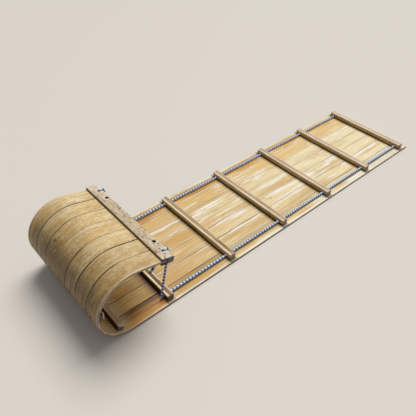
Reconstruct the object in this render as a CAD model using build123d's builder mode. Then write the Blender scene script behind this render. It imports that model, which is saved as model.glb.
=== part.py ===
"""Old wooden toboggan: bent slats, crosspieces, a grooved head bar and two taut side ropes.

Millimetres. +X points forward to the curl, +Y to the sled's left, +Z up.
The origin lies on the ground in the middle of the sled's length and width.
"""
import os
from math import cos, radians, sin, sqrt, tan

from build123d import *

# Slats, bent up at the nose into a round curl that comes back over the bed
slat_count = 7
slat_width = 64.6
slat_gap = 0.8
slat_thickness = 8.0
slat_edge_round = 1.2
curl_radius = 132.5          # outer face of the bend
curl_overturn = 13.5         # degrees that the bend goes on past its top
lip_length = 84.5            # straight stretch from the bend to the head bar's front edge

# Crosspieces that tie the slats, from the tail to the one under the head bar
crosspiece_pitch = 300.0
crosspiece_depth = 26.0
crosspiece_height = 24.0
crosspiece_inset = 11.0      # from the bed's side to the end of a crosspiece
crosspiece_round = 5.0
crosspiece_end_round = 2.0
tail_overhang = 38.0         # slat ends behind the rear crosspiece
nose_lead = 139.0            # from the tie crosspiece's front face to the start of the bend

# Strips that follow the inside of the bend: angle up the bend, width, thickness
toe_bar_angle = 27.5
toe_bar_width = 24.0
toe_bar_thickness = 21.0
nose_strip_angle = 94.0
nose_strip_width = 26.0
nose_strip_thickness = 24.0
seat_clearance = 0.1         # between a flat strip's edges and the round bend

# Head bar, grooved along its front for the slat tips
bar_depth = 49.0
bar_overhang = 2.0
bar_top_lip = 8.5
bar_bottom_lip = 8.5
groove_depth = 24.0
groove_clearance = 0.2
tip_clearance = 1.0
bar_round = 8.0
bar_front_round = 3.0
bar_hole_from_rear = 16.0
tow_hole_spacing = 49.0      # from a rope hole inboard to the tow line hole
tow_hole_diameter = 10.0

# Side ropes
rope_diameter = 8.0
rope_from_side = 36.0        # from the bed's side to the rope
rope_height = 9.6            # rope centre above the slats
rope_hole_clearance = 3.0
bar_rope_hole_clearance = 2.0
knot_diameter = 18.4
tie_lead = 11.0              # from the tie crosspiece's face to the corner where the rope turns up
tie_bend = 8.5
rope_seat_clearance = 0.2
bar_edge_bend = 10.0
bar_hole_bend = 6.0

# Loose rope tail under the head bar, as steps forward, outward and up from the knot
tail_flat = 8.0              # from the knot's centre to the flat where the tail leaves
tail_steps = [(17.0, 1.5, -6.0), (15.5, 2.0, -8.5), (12.0, 1.0, -11.5)]
tail_arc_share = 0.45

# Worked out from the values above
bed_width = slat_count * slat_width + (slat_count - 1) * slat_gap
slat_pitch = slat_width + slat_gap
bed_crosspieces = 6          # five plain ones and the tie crosspiece
bed_length = tail_overhang + crosspiece_depth + (bed_crosspieces - 1) * crosspiece_pitch + nose_lead
tail_x = -(bed_length + curl_radius) / 2
curl_x = tail_x + bed_length
first_face_x = tail_x + tail_overhang + crosspiece_depth
tie_face_x = first_face_x + (bed_crosspieces - 1) * crosspiece_pitch
inner_radius = curl_radius - slat_thickness
rope_y = bed_width / 2 - rope_from_side
rope_z = slat_thickness + rope_height
rope_radius = rope_diameter / 2
knot_radius = knot_diameter / 2
bar_hole_u = bar_depth - bar_hole_from_rear
tip_u = groove_depth - tip_clearance
bar_top_n = bar_top_lip
bar_bottom_n = -slat_thickness - bar_bottom_lip


def on_bend(radius, angle):
    """Return the X and Z of a point of the bend, by its angle up from the ground."""
    return curl_x + radius * sin(radians(angle)), curl_radius - radius * cos(radians(angle))


def bar_plane(y=0.0):
    """Return the plane of the head bar's section: u runs back down the lip, n up from the slats."""
    end_x, end_z = on_bend(curl_radius, 180 + curl_overturn)
    back = (-cos(radians(curl_overturn)), 0, -sin(radians(curl_overturn)))
    front = (end_x + lip_length * back[0], y, end_z + lip_length * back[2])
    return Plane(origin=front, x_dir=back, z_dir=(0, 1, 0))


def bar_point(u, n, y=0.0):
    """Return a point of the head bar's section in the sled's frame."""
    return bar_plane(y).from_local_coords(Vector(u, n, 0))


def save(builder, name):
    """Label a finished piece and write it."""
    builder.part.label = name
    export_step(builder.part, f"parts/{name}.step")


def make_slat(y):
    """Build one slat, centred on y, from its tail to its tip in the head bar's groove."""
    outer_end = on_bend(curl_radius, 180 + curl_overturn)
    inner_end = on_bend(inner_radius, 180 + curl_overturn)
    outer_tip = bar_point(tip_u, 0)
    inner_tip = bar_point(tip_u, -slat_thickness)
    with BuildPart() as slat:
        with BuildSketch(Plane.XZ.offset(-y)):
            with BuildLine():
                Line((tail_x, slat_thickness), (tail_x, 0))
                Line((tail_x, 0), (curl_x, 0))
                CenterArc((curl_x, curl_radius), curl_radius, -90, 180 + curl_overturn)
                Line(outer_end, (outer_tip.X, outer_tip.Z))
                Line((outer_tip.X, outer_tip.Z), (inner_tip.X, inner_tip.Z))
                Line((inner_tip.X, inner_tip.Z), inner_end)
                CenterArc((curl_x, curl_radius), inner_radius, -90, 180 + curl_overturn)
                Line((curl_x, slat_thickness), (tail_x, slat_thickness))
            make_face()
        extrude(amount=slat_width / 2, both=True)
        fillet(slat.faces().filter_by(Axis.Y).edges(), slat_edge_round)
    return slat


def make_crosspiece(face_x):
    """Build one crosspiece with its front face at face_x and a rope hole near each end."""
    with BuildPart() as piece:
        with BuildSketch(Plane.XZ):
            with Locations((face_x - crosspiece_depth / 2, slat_thickness + crosspiece_height / 2)):
                section = Rectangle(crosspiece_depth, crosspiece_height)
            fillet(section.vertices().group_by(Axis.Y)[-1], crosspiece_round)
        extrude(amount=bed_width / 2 - crosspiece_inset, both=True)
        fillet(piece.faces().filter_by(Axis.Y).edges(), crosspiece_end_round)
        for side in (1, -1):
            with Locations(Plane(origin=(face_x, side * rope_y, rope_z), z_dir=(1, 0, 0))):
                Hole((rope_diameter + rope_hole_clearance) / 2)
    return piece


def make_bend_strip(angle, width, thickness):
    """Build a flat strip across the inside of the bend, its two bottom edges on the slats."""
    seat_radius = sqrt(inner_radius ** 2 - (width / 2) ** 2) - seat_clearance
    x, z = on_bend(seat_radius, angle)
    along = (cos(radians(angle)), 0, sin(radians(angle)))
    with BuildPart() as strip:
        with BuildSketch(Plane(origin=(x, 0, z), x_dir=along, z_dir=(0, -1, 0))):
            with Locations((0, thickness / 2)):
                section = Rectangle(width, thickness)
            fillet(section.vertices(), crosspiece_round / 2)
        extrude(amount=bed_width / 2 - crosspiece_inset, both=True)
        fillet(strip.faces().filter_by(Axis.Y).edges(), crosspiece_end_round)
    return strip


def make_head_bar():
    """Build the head bar with its groove, two rope holes and two tow line holes."""
    groove_top = groove_clearance
    groove_bottom = -slat_thickness - groove_clearance
    with BuildPart() as bar:
        with BuildSketch(bar_plane()):
            with BuildLine():
                Polyline(
                    (0, bar_top_n), (bar_depth, bar_top_n), (bar_depth, bar_bottom_n), (0, bar_bottom_n),
                    (0, groove_bottom), (groove_depth, groove_bottom), (groove_depth, groove_top),
                    (0, groove_top), close=True,
                )
            make_face()
        extrude(amount=bed_width / 2 + bar_overhang, both=True)
        rear = bar.faces().sort_by(Axis.X)[0]
        fillet(rear.edges().filter_by(Axis.Y), bar_round)
        top_front = bar.edges().filter_by(Axis.Y).group_by(Axis.Z)[-1]
        fillet(top_front, bar_front_round)
        hole_table = [
            (rope_y, rope_diameter + bar_rope_hole_clearance),
            (rope_y - tow_hole_spacing, tow_hole_diameter),
        ]
        up = bar_plane().y_dir
        for hole_y, diameter in hole_table:
            for side in (1, -1):
                with Locations(Plane(origin=bar_point(bar_hole_u, bar_top_n, side * hole_y), z_dir=up)):
                    Hole(diameter / 2)
    return bar


def make_knot(direction):
    """Build a rope knot round the origin, with a flat where a tail leaves it."""
    with BuildPart() as knot:
        Sphere(knot_radius)
        if direction is not None:
            cut = Vector(*direction).normalized()
            split(bisect_by=Plane(origin=cut * tail_flat, z_dir=cut), keep=Keep.BOTTOM)
    return knot.part


def knot_seat(hole_clearance):
    """Return how far a knot's centre stays from the face whose rope hole it bears on."""
    rim = (rope_diameter + hole_clearance) / 2
    return sqrt(knot_radius ** 2 - rim ** 2) + rope_seat_clearance


def bar_knot_centre(side):
    """Return the centre of the knot under the head bar."""
    return bar_point(bar_hole_u, bar_bottom_n - knot_seat(bar_rope_hole_clearance), side * rope_y)


def tail_heading(side):
    """Return the direction in which the loose tail leaves the knot."""
    forward, outward, up = tail_steps[0]
    return Vector(forward, side * outward, up).normalized()


def make_side_rope(side):
    """Build one side rope from its rear knot to its knot under the head bar."""
    rear_x = first_face_x - crosspiece_depth - knot_seat(rope_hole_clearance)
    over_bar = bar_top_n + rope_radius + rope_seat_clearance
    behind_bar = bar_depth + rope_radius + rope_seat_clearance
    y = side * rope_y
    knot_end = bar_knot_centre(side)
    route = [
        Vector(rear_x, y, rope_z),
        Vector(tie_face_x + tie_lead, y, rope_z),
        bar_point(behind_bar, over_bar, y),
        bar_point(bar_hole_u, over_bar, y),
        knot_end,
    ]
    with BuildPart() as rope:
        with BuildLine() as path:
            FilletPolyline(*route, radius=[tie_bend, bar_edge_bend, bar_hole_bend])
        with BuildSketch(Plane(origin=path.line @ 0, z_dir=path.line % 0)):
            Circle(rope_radius)
        sweep()
        add(make_knot(None).moved(Location(route[0])))
        add(make_knot(tail_heading(side)).moved(Location(knot_end)))
    return rope


def make_rope_tail(side):
    """Build the loose end of a rope, a short limp tube that hangs forward from its knot."""
    start = bar_knot_centre(side) + tail_heading(side) * tail_flat
    points = [start]
    for forward, outward, up in tail_steps:
        points.append(points[-1] + Vector(forward, side * outward, up))
    runs = [b - a for a, b in zip(points, points[1:])]
    radii = []
    for before, after in zip(runs, runs[1:]):
        turn = radians(before.get_angle(after))
        radii.append(tail_arc_share * min(before.length, after.length) / tan(turn / 2))
    print(f"tail {side:+d}: length {sum(run.length for run in runs):.1f}, radii",
          [round(radius, 1) for radius in radii])
    with BuildPart() as tail:
        with BuildLine() as path:
            FilletPolyline(*points, radius=radii)
        with BuildSketch(Plane(origin=path.line @ 0, z_dir=path.line % 0)):
            Circle(rope_radius)
        sweep()
    return tail


os.makedirs("parts", exist_ok=True)

for index in range(slat_count):
    slat_y = (index - (slat_count - 1) / 2) * slat_pitch
    save(make_slat(slat_y), f"slat_{index + 1}")

for index in range(bed_crosspieces):
    piece_name = "tie_crosspiece" if index == bed_crosspieces - 1 else f"crosspiece_{index + 1}"
    save(make_crosspiece(first_face_x + index * crosspiece_pitch), piece_name)

save(make_bend_strip(toe_bar_angle, toe_bar_width, toe_bar_thickness), "toe_bar")
save(make_bend_strip(nose_strip_angle, nose_strip_width, nose_strip_thickness), "nose_strip")
save(make_head_bar(), "head_bar")

for side_name, side_sign in (("left", 1), ("right", -1)):
    save(make_side_rope(side_sign), f"side_rope_{side_name}")
    save(make_rope_tail(side_sign), f"rope_tail_{side_name}")
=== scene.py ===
"""Looks of an old wooden toboggan: worn varnished slats, checked crosspieces and blue braided ropes.

Metres, in the frame's axes: +X forward to the curl, +Y to the sled's left, +Z up.
"""

import logging
import math
import random
from contextlib import contextmanager
from dataclasses import dataclass, field
from enum import Enum
from typing import Callable, Iterator, Sequence

import bmesh
import bpy
import numpy as np
from mathutils import Matrix, Vector

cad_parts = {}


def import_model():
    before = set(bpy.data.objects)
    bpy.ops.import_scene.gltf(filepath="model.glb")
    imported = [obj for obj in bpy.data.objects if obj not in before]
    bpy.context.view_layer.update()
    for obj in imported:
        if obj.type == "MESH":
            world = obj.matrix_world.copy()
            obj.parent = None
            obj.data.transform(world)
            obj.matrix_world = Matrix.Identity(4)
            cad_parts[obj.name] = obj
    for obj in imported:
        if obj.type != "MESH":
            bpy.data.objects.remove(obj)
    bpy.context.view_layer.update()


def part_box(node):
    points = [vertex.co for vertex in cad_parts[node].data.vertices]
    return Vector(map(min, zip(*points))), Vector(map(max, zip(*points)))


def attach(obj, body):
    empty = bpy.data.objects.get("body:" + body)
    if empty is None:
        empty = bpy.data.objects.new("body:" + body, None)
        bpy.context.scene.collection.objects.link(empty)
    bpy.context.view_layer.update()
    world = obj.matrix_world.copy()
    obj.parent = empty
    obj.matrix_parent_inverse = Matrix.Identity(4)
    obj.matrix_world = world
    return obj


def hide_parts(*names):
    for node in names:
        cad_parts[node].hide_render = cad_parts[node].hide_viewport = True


MM = 0.001
BODY = "root"
Piece = bpy.types.Object
Socket = bpy.types.NodeSocket
Spot = tuple[float, float, float]
Places = tuple[tuple[float, ...], ...]
log = logging.getLogger("toboggan")


# Small tools for modelling and painting

def paint(code: str) -> tuple[float, float, float, float]:
    """Turn a colour code as seen on screen into linear values.

    Args:
        code: Six hexadecimal digits after a hash sign.

    Returns:
        The linear red, green and blue, and a full alpha.
    """
    values = [int(code[i:i + 2], 16) / 255 for i in (1, 3, 5)]
    linear = [v / 12.92 if v <= 0.04045 else ((v + 0.055) / 1.055) ** 2.4 for v in values]
    return (*linear, 1.0)


def select_only(*pieces: Piece) -> None:
    """Select these objects and nothing else, the first of them active.

    Args:
        pieces: The objects to select.
    """
    for other in list(bpy.context.selected_objects):
        other.select_set(False)
    for piece in pieces:
        piece.select_set(True)
    bpy.context.view_layer.objects.active = pieces[0]


@contextmanager
def editing(piece: Piece, kind: str = "FACE") -> Iterator[None]:
    """Hold an object in edit mode, with nothing selected at the start.

    Args:
        piece: The object to edit.
        kind: VERT, EDGE or FACE.
    """
    select_only(piece)
    bpy.ops.object.mode_set(mode="EDIT")
    bpy.ops.mesh.select_mode(type=kind)
    bpy.ops.mesh.select_all(action="DESELECT")
    yield
    bpy.ops.object.mode_set(mode="OBJECT")


def pick_edges(piece: Piece, test: Callable[[Vector, Vector], bool]) -> None:
    """Select the edges of an object in edit mode by a test of their two ends.

    Args:
        piece: The object in edit mode.
        test: Takes both ends and says whether the edge is picked.
    """
    mesh = bmesh.from_edit_mesh(piece.data)
    for edge in mesh.edges:
        edge.select_set(test(edge.verts[0].co, edge.verts[1].co))
    bmesh.update_edit_mesh(piece.data)


def cut_across(piece: Piece, axis: int, places: Sequence[float]) -> None:
    """Cut an object in edit mode by planes square to an axis.

    Args:
        piece: The object in edit mode; not used.
        axis: 0, 1 or 2.
        places: Where each plane stands along that axis.
    """
    normal = [float(i == axis) for i in range(3)]
    for place in places:
        bpy.ops.mesh.select_all(action="SELECT")
        bpy.ops.mesh.bisect(plane_co=[place * n for n in normal], plane_no=normal)
    bpy.ops.mesh.select_all(action="DESELECT")


def apply_modifier(piece: Piece, kind: str, **settings: object) -> None:
    """Add a modifier with its settings and apply it.

    Args:
        piece: The object to change.
        kind: The modifier's type.
        settings: Values for the modifier's fields.
    """
    select_only(piece)
    modifier = piece.modifiers.new(kind.lower(), kind)
    for name, value in settings.items():
        setattr(modifier, name, value)
    bpy.ops.object.modifier_apply(modifier=modifier.name)


def carve(piece: Piece, cutter: Piece) -> None:
    """Cut one object out of another and delete the cutter.

    Args:
        piece: The object to cut.
        cutter: The closed shape to take away.
    """
    apply_modifier(piece, "BOOLEAN", operation="DIFFERENCE", solver="EXACT", object=cutter)
    bpy.data.objects.remove(cutter)


def roughen(piece: Piece, grain: float, depth: float, seed: float) -> None:
    """Wear an object's surface unevenly along its normals.

    Args:
        piece: The object to wear.
        grain: The size of the hollows.
        depth: How far the surface moves in all.
        seed: Moves the pattern.
    """
    clouds = bpy.data.textures.new(f"{piece.name}_wear", "CLOUDS")
    clouds.noise_scale = grain
    clouds.noise_depth = 2
    holder = put_in_scene("wear_place", None)
    holder.location = (seed, seed * 0.7, seed * 1.3)
    bpy.context.view_layer.update()
    apply_modifier(piece, "DISPLACE", texture=clouds, texture_coords="OBJECT",
                   texture_coords_object=holder, strength=depth, mid_level=0.5)
    bpy.data.objects.remove(holder)


def put_in_scene(name: str, data: bpy.types.ID | None) -> Piece:
    """Make an object of these data in the scene."""
    piece = bpy.data.objects.new(name, data)
    bpy.context.scene.collection.objects.link(piece)
    return piece


def settle(piece: Piece) -> None:
    """Put an object's place, turn and size into its mesh."""
    select_only(piece)
    bpy.ops.object.transform_apply(location=True, rotation=True, scale=True)


def box_piece(name: str, low: Sequence[float], high: Sequence[float]) -> Piece:
    """Add a box by its two corners.

    Args:
        name: The new object's name.
        low: The lowest corner.
        high: The highest corner.

    Returns:
        The object, with its place in its mesh.
    """
    middle = [(a + b) / 2 for a, b in zip(low, high)]
    bpy.ops.mesh.primitive_cube_add(size=1, location=middle)
    piece = bpy.context.object
    piece.name = name
    piece.scale = [b - a for a, b in zip(low, high)]
    settle(piece)
    return piece


def copy_piece(master: Piece) -> Piece:
    """Copy an object, with its own mesh, into the scene."""
    copy = master.copy()
    copy.data = master.data.copy()
    bpy.context.scene.collection.objects.link(copy)
    return copy


def smooth_faces(piece: Piece, degrees: float) -> None:
    """Shade an object smooth where its faces meet at less than an angle."""
    select_only(piece)
    bpy.ops.object.shade_smooth_by_angle(angle=math.radians(degrees))


def read_points(piece: Piece) -> np.ndarray:
    """Read an object's vertices as rows of three."""
    flat = np.empty(len(piece.data.vertices) * 3)
    piece.data.vertices.foreach_get("co", flat)
    return flat.reshape(-1, 3)


def write_points(piece: Piece, points: np.ndarray) -> None:
    """Write an object's vertices from rows of three."""
    piece.data.vertices.foreach_set("co", points.astype(np.float32).ravel())
    piece.data.update()


def slide_across(piece: Piece, distance: float) -> None:
    """Move an object's points along Y."""
    points = read_points(piece)
    points[:, 1] += distance
    write_points(piece, points)


def write_attribute(piece: Piece, name: str, values: np.ndarray, domain: str = "POINT") -> None:
    """Write an attribute for the finishes to read.

    Args:
        piece: The object.
        name: The attribute's name.
        values: A number or a row of three for each vertex or face.
        domain: POINT or FACE.
    """
    vector = values.ndim == 2
    layer = piece.data.attributes.new(name, "FLOAT_VECTOR" if vector else "FLOAT", domain)
    layer.data.foreach_set("vector" if vector else "value", values.astype(np.float32).ravel())


def end_cuts(half: float, rounding: float, steps: int) -> list[float]:
    """List where a bar is cut across so that its ends can be rounded and its length worn."""
    inner = [(half - rounding) * (2 * i / steps - 1) for i in range(steps + 1)]
    outer = [half - rounding + rounding * share for share in (0.35, 0.6, 0.8, 0.93)]
    return inner + outer + [-y for y in outer]


def round_ends(points: np.ndarray, half: float, rounding: float, low: Sequence[float],
               high: Sequence[float], flat_foot: bool) -> None:
    """Draw a bar's cross section in towards its ends.

    Args:
        points: Rows of the bar's points, changed in place.
        half: Half of the bar's length.
        rounding: How far from each end the section draws in, and by how much.
        low: The section's lowest x and z.
        high: The section's highest x and z.
        flat_foot: Whether the lower face stays where it is.
    """
    share = np.clip((np.abs(points[:, 1]) - half + rounding) / rounding, 0, 1)
    inset = rounding * (1 - np.sqrt(1 - share ** 2))
    for axis, a, b in ((0, low[0], high[0]), (2, low[1], high[1])):
        fixed = a if axis == 2 and flat_foot else (a + b) / 2
        reach = max(b - fixed, fixed - a)
        points[:, axis] = fixed + (points[:, axis] - fixed) * (1 - inset / reach)


def wear_bar(bar: Piece, layers: Sequence[Sequence[float]], low: Sequence[float],
             high: Sequence[float], end_round: float, flat_foot: bool = False) -> None:
    """Wear a bar unevenly inside its sizes, all but its last few millimetres, and round its ends.

    Args:
        bar: The plain bar.
        layers: The size, the depth and the seed of the hollows, for each layer.
        low: Its lowest corner.
        high: Its highest corner.
        end_round: How far from each end its section draws in.
        flat_foot: Whether its lower face stays flat.
    """
    half = high[1]
    smooth = read_points(bar)
    for layer in layers:
        roughen(bar, *layer)
    share = ease(half - 12 * MM, half - 6 * MM, np.abs(smooth[:, 1]))[:, None]
    points = read_points(bar) * (1 - share) + smooth * share
    if flat_foot:
        points[:, 2] = np.where(points[:, 2] < 0.6 * MM, 0, points[:, 2])
    points = np.clip(points, low, high)
    round_ends(points, half, end_round, low[::2], high[::2], flat_foot)
    write_points(bar, points)


def mark_bores(piece: Piece, test: Callable[[Vector], bool]) -> None:
    """Mark the walls of an object's holes, on which its finish paints shade.

    Args:
        piece: The object.
        test: Takes the middle of a face and says whether it lies in a hole.
    """
    walls = np.array([float(test(face.center)) for face in piece.data.polygons])
    write_attribute(piece, "bore", walls, "FACE")


def ease(low: float, high: float, values: np.ndarray) -> np.ndarray:
    """Rise smoothly from 0 at low to 1 at high."""
    share = np.clip((values - low) / (high - low), 0, 1)
    return share * share * (3 - 2 * share)


# Plan of the sled

@dataclass(frozen=True)
class Plan:
    """Sizes that the pieces share, read from the frame where it has them.

    Strip_angles are those of the toe bar and the nose strip in the bend, in degrees.
    """

    tail_x: float
    nose_x: float
    curl_radius: float
    half_width: float
    crosspiece_faces: tuple[float, ...]
    slat_count: int = 7
    slat_width: float = 64.6 * MM
    slat_gap: float = 0.8 * MM
    slat_thickness: float = 8 * MM
    overturn: float = math.radians(13.5)
    lip_length: float = 84.5 * MM
    tip_in_groove: float = 23 * MM
    crosspiece_pitch: float = 300 * MM
    crosspiece_depth: float = 26 * MM
    crosspiece_height: float = 24 * MM
    crosspiece_inset: float = 11 * MM
    strip_angles: tuple[float, float] = (27.5, 94.0)
    rope_y: float = 192.5 * MM
    rope_z: float = 17.6 * MM

    @classmethod
    def from_frame(cls) -> "Plan":
        """Read the overall sizes from the CAD nodes.

        Returns:
            The plan of this sled.
        """
        low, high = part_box("slat_1")
        bars = [f"crosspiece_{i + 1}" for i in range(5)] + ["tie_crosspiece"]
        return cls(
            tail_x=low.x, nose_x=high.x, curl_radius=high.z / 2, half_width=-low.y,
            crosspiece_faces=tuple(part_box(bar)[1].x for bar in bars),
        )

    @property
    def curl_x(self) -> float:
        """Return where the bend starts."""
        return self.nose_x - self.curl_radius

    @property
    def bed_length(self) -> float:
        """Return the length of the flat bed."""
        return self.curl_x - self.tail_x

    @property
    def bend_run(self) -> float:
        """Return the length of the bend along the running face."""
        return self.curl_radius * (math.pi + self.overturn)

    @property
    def back(self) -> Vector:
        """Return the direction in which the lip runs back from the bend."""
        return Vector((-math.cos(self.overturn), 0, -math.sin(self.overturn)))

    @property
    def lip_up(self) -> Vector:
        """Return the lip's outward normal."""
        return Vector((-math.sin(self.overturn), 0, math.cos(self.overturn)))

    def slat_y(self, index: int) -> float:
        """Return the middle of a slat, counted from the sled's right side."""
        return (index - (self.slat_count - 1) / 2) * (self.slat_width + self.slat_gap)

    def on_bend(self, radius: float, angle: float, y: float = 0.0) -> Vector:
        """Return a point of the bend by its angle up from the ground, in radians."""
        return Vector((
            self.curl_x + radius * math.sin(angle), y, self.curl_radius - radius * math.cos(angle)))

    def bar_point(self, u: float, n: float, y: float = 0.0) -> Vector:
        """Return a point of the head bar's section: u back from its front and n up from the slats."""
        end = self.on_bend(self.curl_radius, math.pi + self.overturn, y)
        return end + self.back * (self.lip_length + u) + self.lip_up * n

    def unroll(self, points: np.ndarray) -> np.ndarray:
        """Lay points of the bent slats out flat.

        Args:
            points: Rows of x, y and z.

        Returns:
            Rows of the run from the tail, the place across and the depth from the running face.
        """
        x, y, z = points.T
        out_x, out_z = x - self.curl_x, self.curl_radius - z
        angle = np.arctan2(out_x, out_z) % (2 * math.pi)
        bend_end = math.pi + self.overturn
        end = self.on_bend(self.curl_radius, bend_end)
        on_bed = (x < self.curl_x) & (z < self.curl_radius)
        on_lip = ~on_bed & (angle > bend_end)
        lip_run = (x - end.x) * self.back.x + (z - end.z) * self.back.z
        lip_depth = -((x - end.x) * self.lip_up.x + (z - end.z) * self.lip_up.z)
        past_bed = np.where(on_lip, self.bend_run + lip_run, angle * self.curl_radius)
        run = np.where(on_bed, x - self.tail_x, self.bed_length + past_bed)
        depth = np.where(on_lip, lip_depth, self.curl_radius - np.hypot(out_x, out_z))
        depth = np.where(on_bed, z, depth)
        return np.stack([run, y, depth], axis=1)


# Finishes

class NodeSheet:
    """Writes the nodes of one material, with its grain and the colour that its coats have come to."""

    def __init__(self, name: str) -> None:
        """Start an empty material.

        Args:
            name: The material's name.
        """
        self.material = bpy.data.materials.new(name)
        self.material.use_nodes = True
        self.tree = self.material.node_tree
        self.tree.nodes.clear()
        self.shader = self.node("ShaderNodeBsdfPrincipled")
        output = self.node("ShaderNodeOutputMaterial")
        self.tree.links.new(self.shader.outputs["BSDF"], output.inputs["Surface"])
        self.grain: object = None
        self.colour: object = None

    def node(self, kind: str, **settings: object) -> bpy.types.Node:
        """Add a node and set its fields."""
        made = self.tree.nodes.new(kind)
        for name, value in settings.items():
            setattr(made, name, value)
        return made

    def feed(self, socket: Socket, value: object) -> None:
        """Link a socket, or set it to a plain value."""
        if isinstance(value, Socket):
            self.tree.links.new(value, socket)
        else:
            socket.default_value = value

    def attribute(self, name: str, output: str = "Vector") -> Socket:
        """Read a mesh attribute."""
        return self.node("ShaderNodeAttribute", attribute_name=name).outputs[output]

    def noise(self, scale: Sequence[float], detail: float = 3, rough: float = 0.55, bent: float = 0.0,
              shift: float = 0.0) -> Socket:
        """Make a noise round a half along the grain.

        Args:
            scale: Its waves for each metre along the grain's axes.
            detail: How many finer layers it has.
            rough: How strong they are.
            bent: How far its shapes are bent.
            shift: Moves it, so that no two noises agree.

        Returns:
            The noise.
        """
        mapping = self.node("ShaderNodeMapping")
        self.feed(mapping.inputs["Vector"], self.grain)
        mapping.inputs["Scale"].default_value = scale
        mapping.inputs["Location"].default_value = (shift, shift * 1.7, shift * 0.6)
        made = self.node("ShaderNodeTexNoise")
        self.feed(made.inputs["Vector"], mapping.outputs["Vector"])
        made.inputs["Scale"].default_value = 1
        made.inputs["Detail"].default_value = detail
        made.inputs["Roughness"].default_value = rough
        made.inputs["Distortion"].default_value = bent
        return made.outputs["Fac"]

    def band(self, value: object, low: float, high: float, start: float = 0,
             end: float = 1) -> Socket:
        """Rise smoothly from start to end as the value goes from low to high."""
        made = self.node("ShaderNodeMapRange", interpolation_type="SMOOTHSTEP")
        self.feed(made.inputs["Value"], value)
        for name, number in (("From Min", low), ("From Max", high), ("To Min", start), ("To Max", end)):
            made.inputs[name].default_value = number
        return made.outputs["Result"]

    def between(self, value: object, rise: tuple[float, float], fall: tuple[float, float],
                unit: float = 1.0) -> Socket:
        """Rise smoothly from 0 to 1 over one stretch of the value, and fall back over another."""
        return self.product(self.band(value, rise[0] * unit, rise[1] * unit),
                            self.band(value, fall[0] * unit, fall[1] * unit, 1, 0))

    def math(self, operation: str, first: object, second: object = 0.0) -> Socket:
        """Work out one step of arithmetic."""
        made = self.node("ShaderNodeMath", operation=operation)
        self.feed(made.inputs[0], first)
        self.feed(made.inputs[1], second)
        return made.outputs[0]

    def product(self, *values: object) -> Socket:
        """Multiply several values."""
        result = values[0]
        for value in values[1:]:
            result = self.math("MULTIPLY", result, value)
        return result

    def parts(self, vector: object) -> list[Socket]:
        """Split a vector into its three values."""
        made = self.node("ShaderNodeSeparateXYZ")
        self.feed(made.inputs[0], vector)
        return list(made.outputs)

    def ramp(self, value: object, places: Sequence[float], codes: Sequence[str]) -> Socket:
        """Turn a value into a colour, with a colour code at each place.

        Args:
            value: What is turned into a colour.
            places: Values in rising order.
            codes: The colour code at each place.

        Returns:
            The colour.
        """
        made = self.node("ShaderNodeValToRGB")
        self.feed(made.inputs["Fac"], value)
        elements = made.color_ramp.elements
        while len(elements) < len(places):
            elements.new(1.0)
        for element, place, code in zip(elements, places, codes):
            element.position = place
            element.color = paint(code)
        return made.outputs["Color"]

    def blend(self, share: object, below: object, above: object, mode: str = "MIX") -> Socket:
        """Lay one colour over another by a share; a colour code may stand for either."""
        made = self.node("ShaderNodeMix", data_type="RGBA", blend_type=mode)
        self.feed(made.inputs["Factor"], share)
        for socket, colour in ((made.inputs["A"], below), (made.inputs["B"], above)):
            self.feed(socket, paint(colour) if isinstance(colour, str) else colour)
        return made.outputs["Result"]

    def coat(self, share: object, above: object) -> None:
        """Lay a colour or a colour code over what is there, by a share."""
        self.colour = self.blend(share, self.colour, above)

    def shade(self, share: object, tint: object) -> None:
        """Multiply what is there by a tint, by a share."""
        self.colour = self.blend(share, self.colour, tint, "MULTIPLY")

    def bump(self, height: object, strength: float, distance: float) -> Socket:
        """Return a normal raised by a height."""
        made = self.node("ShaderNodeBump")
        made.inputs["Strength"].default_value = strength
        made.inputs["Distance"].default_value = distance
        self.feed(made.inputs["Height"], height)
        return made.outputs["Normal"]

    def finish(self, roughness: object, normal: object = None, **plain: float) -> bpy.types.Material:
        """Feed the shader with the colour and these values.

        Args:
            roughness: The surface's roughness.
            normal: Its raised normal, if it has one.
            plain: Numbers for other sockets, with low lines for the spaces in their names.

        Returns:
            The finished material.
        """
        self.feed(self.shader.inputs["Base Color"], self.colour)
        self.feed(self.shader.inputs["Roughness"], roughness)
        if normal is not None:
            self.feed(self.shader.inputs["Normal"], normal)
        for name, value in plain.items():
            self.shader.inputs[name.replace("_", " ")].default_value = value
        return self.material


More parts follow.
